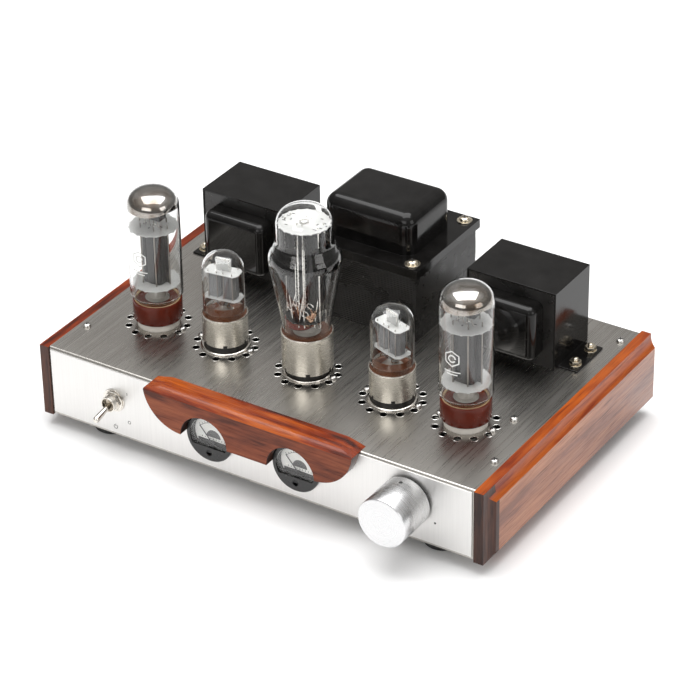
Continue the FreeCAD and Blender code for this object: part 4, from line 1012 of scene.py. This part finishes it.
def add_deck_rims(looks):
    """Collar around each small socket, and a rim to each vent hole around a socket, its steel lighter than
    the deck's as a painted highlight.
    """
    collar = [(14.8, 0.0), (17.2, 0.0), (17.2, 0.7), (16.7, 1.2), (15.4, 1.5), (14.8, 1.4)]
    rim = [(2.5, -0.5), (2.5, 0.02), (2.66, 0.1), (2.95, 0.08), (3.15, 0.0), (3.0, -0.2)]
    build = Build((0, 0, DECK / MM))
    for tube in TUBES:
        x, y = TubePlace(tube).origin[:2]
        if not tube.startswith("power"):
            build.lathe(looks["nickel"], collar, 72, shift_by(x, y), closed=True)
        # Vent rims lighter than the deck: painted highlight on the hole edges.
        for place in arc((x, y), VENT_CIRCLE, 15, 345, 11):
            build.lathe(looks["vent_rim_painted_highlight"], rim, 28, shift_by(*place), closed=True)
    build.finish("deck_rims", "chassis", "steel", smooth_angle=50)


# ---------------------------------------------------------------- transformers

EAR_THICKNESS = 1.2
THREAD_PITCH = 0.75


def laminated(build, look, width, depth, low, high, pitch=1.5, groove=0.5, inset=0.6):
    """Stack of plates with a fine groove between each two."""
    count = round((high - low) / pitch)
    pitch = (high - low) / count
    rng = random.Random(11)

    def ring(height, draw):
        return [(x, y, height) for x, y in rectangle(width / 2 - draw, depth / 2 - draw)]

    rings = []
    for plate in range(count):
        start = low + plate * pitch
        slip = rng.uniform(0, 0.2)
        rings += [ring(start, slip), ring(start + pitch - groove, slip)]
        if plate < count - 1:
            rings += [ring(start + pitch - groove, inset), ring(start + pitch, inset)]
    build.skin(look, rings)


def add_mains_core(looks):
    low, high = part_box("mains_core")
    middle = centre_of("mains_core")
    build = Build((middle.x / MM, middle.y / MM, 0))
    width, depth = (high.x - low.x) / MM, (high.y - low.y) / MM
    laminated(build, looks["black_iron"], width, depth, low.z / MM, high.z / MM)
    build.finish("mains_laminations", "chassis", "black_iron", ("mains_core",), 30)


def cross_head(build, metal, dark, x, y, z, radius, height=2.1):
    """Pan head with a cross recess, drawn as dark bars in the head: painted shade in place of a cut recess.
    """
    shift = shift_by(x, y, z)
    head = [(0, -0.5), (radius * 0.6, -0.5), (radius, 0.0), (radius, 0.7), (radius * 0.93, 1.25),
            (radius * 0.72, height * 0.86), (radius * 0.4, height * 0.98), (0, height)]
    build.lathe(metal, head, 36, shift)
    arm = radius * 0.62
    # Dark bars across the head: painted shade for the cross recess.
    for angle in (35, 125):
        build.box(dark, (2 * arm, radius * 0.2, 0.5), (0, 0, height - 0.2), shift @ turn_about("Z", angle))


def islands(node):
    """Middles, in millimetres, of the separate solids of a node, seen from above."""
    build = bmesh.new()
    build.from_mesh(NODES[node].data)
    bmesh.ops.remove_doubles(build, verts=build.verts, dist=0.002 * MM)
    left, middles = set(build.verts), []
    while left:
        start = min(left, key=lambda vert: (round(vert.co.x, 5), round(vert.co.y, 5), round(vert.co.z, 5)))
        group, queue = {start}, [start]
        while queue:
            for edge in queue.pop().link_edges:
                for vert in edge.verts:
                    if vert not in group:
                        group.add(vert)
                        queue.append(vert)
        left -= group
        xs, ys = [vert.co.x for vert in group], [vert.co.y for vert in group]
        middles.append(((min(xs) + max(xs)) / 2 / MM, (min(ys) + max(ys)) / 2 / MM))
    build.free()
    apart = []
    for x, y in sorted(middles):
        if all(math.hypot(x - u, y - v) > 2 for u, v in apart):
            apart.append((x, y))
    return apart


def add_screws(looks):
    metal, deck = looks["screw_steel"], DECK / MM
    shank = [(0, deck - 6.0), (1.4, deck - 6.0), (1.4, deck - 0.4), (0, deck - 0.4)]
    for node, radius in (("deck_screws", 3.0), ("socket_screws", 2.7)):
        build = Build()
        for x, y in islands(node):
            cross_head(build, metal, looks["recess"], x, y, deck, radius)
            build.lathe(metal, shank, 16, shift_by(x, y))
        build.finish(node + "_fine", "chassis", "screw_steel", (node,), 40)


def add_bolts(looks):
    metal = looks["bolt_nickel"]
    build = Build()
    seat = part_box("mains_bolts")[0].z / MM
    washer = [(2.0, -0.1), (5.2, -0.1), (5.4, 0.15), (5.4, 0.75), (5.2, 0.95), (2.0, 1.0)]
    for x, y in islands("mains_bolts"):
        build.lathe(metal, washer, 48, shift_by(x, y, seat), closed=True)
        cross_head(build, metal, looks["recess"], x, y, seat + 0.9, 3.8, 2.3)
    build.finish("mains_bolts_fine", "chassis", "bolt_nickel", ("mains_bolts",), 40)
    build = Build()
    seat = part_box("output_frame_left")[0].z / MM + EAR_THICKNESS
    washer = [(1.9, -0.1), (4.2, -0.1), (4.4, 0.1), (4.4, 0.6), (4.2, 0.8), (1.9, 0.8)]
    thread = [(0, -6.8)]
    for turn in range(16):
        height = -6.8 + turn * THREAD_PITCH
        thread += [(1.75, height), (2.0, height + 0.37)]
    thread += [(1.7, 5.2), (1.2, 5.5), (0, 5.6)]
    for x, y in islands("output_bolts"):
        shift = shift_by(x, y, seat)
        build.lathe(metal, washer, 40, shift, closed=True)
        build.prism(metal, hex_outline(7.0), 0.8, 3.6, shift @ turn_about("Z", x * 7), 0.3)
        build.lathe(metal, thread, 24, shift)
    build.finish("output_bolts_fine", "chassis", "bolt_nickel", ("output_bolts",), 40)


# ---------------------------------------------------------------- front

DIAL_REACH, DIAL_DROP = 34.2, 7.2
DIAL_RADIUS, SCALE_RADIUS = 14.7, 13.6
POWER_LINE, POWER_RING, STANDBY = (-102.3, 46.3), (-101.6, 24.0), (-113.4, 17.0)
KNOB_MARK = (138.6, 28.6)


def flat_line(build, look, path, width, turn, closed=False):
    """Printed line on a flat face."""
    rings = []
    for (x, y), side in sides_of(path, width, closed):
        rings.append([turn @ Vector((x + sign * side.x, y + sign * side.y, height))
                      for sign, height in ((-1, -0.02), (1, -0.02), (1, 0.04), (-1, 0.04))])
    build.skin(look, rings, closed)


def add_dials(looks):
    """Card of each meter: scale, red stretch, cap over the pivot, and the strip below it."""
    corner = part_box("meter_dials")[0]
    front, z = corner.y / MM, corner.z / MM + DIAL_DROP
    dark = looks["ink"]
    edge = math.degrees(math.asin(DIAL_DROP / DIAL_RADIUS))
    build = Build()
    for x in (-DIAL_REACH, DIAL_REACH):
        outline = arc((0, 0), DIAL_RADIUS, -edge, 180 + edge, 40)
        build.prism(looks["dial_card"], outline, -1.0, 0.0, face_turn(x, front, z))
        turn = face_turn(x, front, z - 5.2)
        flat_line(build, dark, arc((0, 0), SCALE_RADIUS, 42, 138, 30), 0.28, turn)
        for tick in range(11):
            angle = 44 + 9.2 * tick
            reach = 15.6 if tick % 5 == 0 else 14.8
            flat_line(build, dark, [polar(SCALE_RADIUS, angle), polar(reach, angle)], 0.3, turn)
        flat_line(build, looks["scale_red"], arc((0, 0), 12.9, 42, 68, 10), 0.5, turn)
        cap = arc((0, 0), 5.6, 0, 180, 18)
        build.prism(looks["grey_print"], cap, 0.0, 0.12, face_turn(x, front, z - 2.6))
        build.box(looks["strip_light"], (22.0, 2.4, 0.2), (0, 0, 0.05), face_turn(x, front, z - 3.9))
        for mark in range(9):
            build.box(dark, (0.35, 1.0, 0.1), (mark * 2.2 - 8.8, 0, 0.18), face_turn(x, front, z - 3.7))
        build.box(dark, (24.6, 1.9, 0.3), (0, 0, 0.1), face_turn(x, front, z - 6.1))
    build.finish("meter_dials_fine", "chassis", "dial_card", ("meter_dials",), 40)


def add_panel_marks(looks):
    """Plain symbols beside the power switch, and the small index dot beside the knob."""
    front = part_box("front_fascia")[0].y / MM
    build = Build()
    ink = looks["ink"]
    places = (POWER_LINE, POWER_RING, STANDBY, KNOB_MARK)
    line, ring, standby, mark = (face_turn(x, front, z) for x, z in places)
    flat_line(build, ink, [(0, -1.1), (0, 1.1)], 0.45, line)
    flat_line(build, ink, arc((0, 0), 1.1, 0, 345, 23), 0.4, ring, closed=True)
    flat_line(build, ink, arc((0, 0), 1.5, 120, 420, 24), 0.45, standby)
    flat_line(build, ink, [(0, 0.2), (0, 2.1)], 0.45, standby)
    build.prism(ink, arc((0, 0), 0.8, 0, 345, 16), -0.05, 0.05, mark)
    build.finish("panel_marks", "chassis", "meter_black", smooth_angle=30)


def add_knob(looks):
    low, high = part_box("volume_knob")
    middle = centre_of("volume_knob")
    shaft_low, shaft_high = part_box("volume_shaft")
    build = Build()
    turn = face_turn(middle.x / MM, high.y / MM, middle.z / MM)
    radius, reach = (high.x - low.x) / 2 / MM, (high.y - low.y) / MM
    bore = (shaft_high.x - shaft_low.x) / 2 / MM + 0.05
    tip = (high.y - shaft_low.y) / MM + 0.1
    outline = [(0, tip), (bore, tip), (bore, 5.0), (8.2, 5.0), (8.2, 0.0),
               (radius - 0.6, 0.0), (radius - 0.15, 0.2), (radius, 0.7), (radius, reach - 0.9),
               (radius - 0.25, reach - 0.35), (radius - 0.8, reach - 0.05), (radius - 1.2, reach), (0, reach)]
    build.lathe(looks["knob_aluminium"], outline, 128, turn)
    # Dark disc on the knob's face: painted shade for its recessed index dot.
    dot = shift_by(*polar(13.2, 240), reach - 0.13)
    build.lathe(looks["recess"], [(0, 0), (0.85, 0), (0.85, 0.12), (0, 0.12)], 24, turn @ dot)
    # Dark disc on the knob's side: painted shade for the set screw hole.
    hole = turn @ shift_by(0, radius - 0.3, 6.5) @ turn_about("X", -90)
    build.lathe(looks["recess"], [(0, -0.2), (1.3, -0.2), (1.3, 0.34), (0, 0.34)], 24, hole)
    build.finish("volume_knob_fine", "volume", "knob_aluminium", ("volume_knob",), 30)


def add_switch(looks):
    """Washer, lock ring and hex nut around the switch, and the nut behind the knob."""
    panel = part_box("front_fascia")[0].y / MM
    body_low, body_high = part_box("switch_body")
    turn = face_turn((body_low.x + body_high.x) / 2 / MM, panel, (body_low.z + body_high.z) / 2 / MM)
    metal = looks["nickel"]
    build = Build()
    washer = [(5.7, 0.0), (8.3, 0.0), (8.5, 0.25), (8.5, 0.65), (8.3, 0.9), (5.7, 0.9)]
    build.lathe(metal, washer, 64, turn, closed=True)
    lock_ring = [(5.7, 0.9), (7.3, 0.9), (7.5, 1.1), (7.5, 1.5), (7.2, 1.7), (5.7, 1.7)]
    build.lathe(metal, lock_ring, 64, turn, closed=True)
    nut = stepped(hex_outline(12.2), 6)
    rings = []
    for height, draw in ((1.7, 0.3), (2.0, 0.0), (3.2, 0.0), (3.5, 0.4)):
        scale = 1 - draw / 7
        rings.append([turn @ Vector((x * scale, y * scale, height)) for x, y in nut])
    build.skin(metal, rings)
    pot = centre_of("volume_knob")
    pot_nut = [(3.85, 0.0), (6.2, 0.0), (6.2, 2.2), (5.9, 2.4), (3.85, 2.4)]
    build.lathe(metal, pot_nut, 6, face_turn(pot.x / MM, panel, pot.z / MM), closed=True)
    build.finish("panel_nuts_fine", "chassis", "nickel", ("panel_nuts",), 35)


# ---------------------------------------------------------------- looks of the whole amplifier

def make_looks():
    rosewood = ((0.035, 0.005, 0.002), (0.20, 0.026, 0.004), (0.40, 0.085, 0.010))
    dull_rosewood = ((0.075, 0.016, 0.007), (0.20, 0.046, 0.018), (0.27, 0.075, 0.030))
    end_grain = ((0.018, 0.006, 0.004), (0.045, 0.016, 0.010), (0.085, 0.028, 0.014))
    return {
        "steel": brushed("deck_steel", (0.47, 0.45, 0.42), "y", 0.27),
        "fascia": brushed("fascia_steel", (0.74, 0.73, 0.715), "z", 0.38),
        "cheek_wood": wood("cheek_rosewood", *rosewood, grain="y", gloss=0.1, roughness=0.30),
        "bar_wood": wood("bar_rosewood", *rosewood, grain="x", gloss=0.3, roughness=0.26, ring=34.0,
                         shift=(0.3, 0.1, 0.2)),
        # Paler wood for the outer face of each side: painted reflection of the bright floor.
        "cheek_outer_painted_reflection": wood("cheek_outer_painted_reflection", (0.17, 0.050, 0.022), (0.32, 0.115, 0.052), (0.42, 0.17, 0.082),
                           grain="y", gloss=0.4, roughness=0.32, ring=30.0),
        "cheek_end": wood("cheek_end", *end_grain, grain="z", gloss=0.2, roughness=0.4, ring=60.0),
        "bar_face": wood("bar_face", *dull_rosewood, grain="x", gloss=0.1, roughness=0.42, ring=40.0,
                         shift=(0.3, 0.1, 0.2)),
        "bar_end": wood("bar_end", *end_grain, grain="z", gloss=0.3, roughness=0.3, ring=60.0),
        "dark_screw": plated("dark_screw", (0.05, 0.05, 0.05), 0.3),
        "rubber": plastic("foot_rubber", (0.022, 0.022, 0.022), 0.62, 0.04),
        "screw_steel": plated("screw_steel", (0.70, 0.68, 0.65), 0.24),
        "meter_black": plastic("meter_black", (0.012, 0.012, 0.012), 0.22, 0.01),
        "dial_card": plastic("dial_card", (0.93, 0.92, 0.89), 0.55, 0.005, 0.03),
        "meter_glass": clear_glass("meter_window"),
        "needle_metal": plastic("needle_black", (0.015, 0.015, 0.015), 0.4, 0.004),
        "knob_aluminium": turned("knob_aluminium", (0.70, 0.70, 0.705), 0.26, centre_of("volume_knob")),
        "shaft_brass": plated("shaft_brass", (0.72, 0.56, 0.30), 0.3),
        "plated_steel": plated("plated_steel", (0.62, 0.61, 0.58), 0.35),
        "nickel": plated("nickel", (0.80, 0.76, 0.70), 0.14),
        "ceramic": plastic("ceramic_white", (0.74, 0.70, 0.64), 0.42, 0.02, 0.05),
        "brown_base": plastic("phenolic_brown", (0.10, 0.013, 0.005), 0.2, 0.01, 0.2, specular=0.25),
        "plated_base": plated("satin_nickel", (0.80, 0.77, 0.70), 0.26, spin=True, tarnish=0.06,
                              relief=0.001),
        "tube_glass": clear_glass("bulb_glass"),
        "electrode_metal": plastic("anode_grey", (0.16, 0.155, 0.15), 0.45),
        "black_iron": enamel("lamination_black", (0.010, 0.0095, 0.009), 0.24, specular=0.6),
        "black_gloss": enamel("gloss_black", (0.0035, 0.0032, 0.003), 0.10),
        "bolt_nickel": plated("bolt_nickel", (0.82, 0.74, 0.60), 0.22),
        "black_plastic": plastic("inlet_black", (0.02, 0.02, 0.02), 0.4),
        "gold_brass": plated("gold_plate", (0.83, 0.62, 0.28), 0.16),
        "cap_black": plastic("cap_black", (0.015, 0.015, 0.015), 0.28),
        "cap_red": plastic("cap_red", (0.36, 0.012, 0.010), 0.28),
        "board": plastic("board_green", (0.02, 0.11, 0.04), 0.3),
        "spacer_brass": plated("spacer_brass", (0.72, 0.56, 0.30), 0.3),
        "capacitor": plastic("capacitor_sleeve", (0.015, 0.02, 0.05), 0.3),
        "press_glass": plastic("press_glass", (0.30, 0.28, 0.25), 0.15),
        "lead_wire": plated("lead_wire", (0.34, 0.31, 0.28), 0.32),
        "bright_wire": plated("bright_wire", (0.80, 0.78, 0.74), 0.24, tarnish=0.1),
        "mica": plastic("mica_white", (0.42, 0.42, 0.41), 0.35, 0.01, 0.12),
        "carbon": plastic("carbon_black", (0.010, 0.010, 0.011), 0.5),
        "anode": plastic("anode_dark", (0.034, 0.033, 0.033), 0.40, 0.02, 0.2),
        "anode_light": plastic("anode_mid", (0.13, 0.13, 0.132), 0.36, 0.02, 0.12),
        "carbon_plate": plastic("anode_carbon", (0.008, 0.008, 0.008), 0.42, 0.02),
        "getter": getter_film("getter_mirror", 1.0),
        # Getter at a twentieth of the brightness: painted dark reflection of dark surroundings.
        "getter_film_painted_dark": getter_film("getter_mirror_painted_dark", 0.05),
        "cement": plastic("cement_tan", (0.42, 0.29, 0.15), 0.7, 0.05, 0.15),
        "pin_nickel": plated("pin_nickel", (0.78, 0.74, 0.66), 0.2),
        "wafer": plastic("wafer_black", (0.015, 0.014, 0.013), 0.35),
        "brown_tint": plastic("tint_brown", (0.10, 0.035, 0.014), 0.3),
        "copper": plated("copper", (0.62, 0.40, 0.27), 0.24),
        "red_cup": plastic("cup_red", (0.14, 0.022, 0.014), 0.24),
        "print": plastic("print_white", (0.78, 0.78, 0.76), 0.5, 0.004, 0.05),
        # Lighter copy of the deck steel for the vent rims: painted highlight.
        "vent_rim_painted_highlight": plated("vent_rim_painted_highlight", (0.86, 0.84, 0.80), 0.16, tarnish=0.08),
        # Near-black painted shade for screw crosses and for the knob's dot and screw hole.
        "recess": plastic("recess_painted_shade", (0.010, 0.010, 0.010), 0.6),
        "ink": plastic("ink_black", (0.014, 0.014, 0.014), 0.5, 0.004),
        "scale_red": plastic("scale_red", (0.45, 0.03, 0.02), 0.5, 0.004),
        "grey_print": plastic("print_grey", (0.10, 0.10, 0.10), 0.5, 0.004),
        "strip_light": plastic("strip_pale", (0.95, 0.94, 0.90), 0.5, 0.004),
    }


CHEEK_END = 0.0145
EDGE_WIDTHS = {
    "chassis_shell": 0.0, "side_panel_left": 0.45, "side_panel_right": 0.45, "front_bar": 0.8,
    "front_fascia": 0.2, "mains_cover": 0.5, "output_frame_left": 0.8, "output_frame_right": 0.8,
    "output_bells_left": 0.6, "output_bells_right": 0.6,
}


def paint_cheek(piece, node, looks):
    """Dark end grain at the front of a wooden side, and a duller outer face whose paler wood is a painted
    reflection of the bright floor.
    """
    outward = 1 if node.endswith("right") else -1
    low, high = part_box(node)
    end = low.y + CHEEK_END
    outer = max(abs(low.x), abs(high.x)) - MM

    def pick(normal, middle):
        if abs(normal.y) > 0.8 or (middle.y < end and normal.z < 0.3):
            return 1
        # Outer face gets the paler wood: painted reflection of the bright floor.
        return 2 if normal.x * outward > 0.9 and abs(middle.x) > outer else 0

    split_at(piece, end)
    paint(piece, [looks["cheek_wood"], looks["cheek_end"], looks["cheek_outer_painted_reflection"]], pick)


def refine_rest(looks):
    """Every CAD node that isn't made anew, with its edges rounded and its looks on."""
    made = {"mains_core", "deck_screws", "socket_screws", "mains_bolts", "output_bolts", "meter_dials",
            "volume_knob", "panel_nuts"}
    for tube in TUBES:
        made.update(tube + part for part in ("_glass", "_electrodes", "_base"))
    driver_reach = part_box("driver_tube_right_base")[1].x + 0.01
    for node in sorted(set(NODES) - made):
        piece = refine(node, looks[NODE_SLOT[node]], EDGE_WIDTHS.get(node, 0.25))
        if node.startswith("side_panel"):
            paint_cheek(piece, node, looks)
        elif node == "front_bar":
            paint(piece, [looks["bar_wood"], looks["bar_end"], looks["bar_face"]],
                  lambda normal, middle: 1 if abs(normal.x) > 0.7 else 2 if normal.y < -0.97 else 0)
        elif node == "tube_sockets":
            # Sockets of the three middle tubes in black: painted shade for the dark gap ring under their
            # bases.
            paint(piece, [looks["ceramic"], looks["wafer"]],
                  lambda normal, middle: 1 if abs(middle.x) < driver_reach else 0)
        elif node == "meter_screws":
            paint(piece, [looks["dark_screw"]], lambda normal, middle: 0)
        elif node == "meter_windows":
            piece.visible_shadow = False


def main():
    bpy.context.scene.view_settings.view_transform = "Standard"
    add_camera()
    add_world()
    add_softbox("top_box", (-0.1, 0.15, 1.7), (0, 0, 0), 1.8, 1.4, 32)
    add_softbox("front_box", (0.2, -2.2, 1.3), (0, 0, 0.05), 1.8, 1.0, 13)
    add_softbox("right_box", (1.9, -0.2, 0.9), (0, 0, 0.05), 1.0, 1.0, 6)
    add_stage()
    looks = make_looks()
    refine_rest(looks)
    for add in (add_tubes, add_mains_core, add_screws, add_bolts,
                add_dials, add_panel_marks, add_knob, add_switch):
        add(looks)


main()
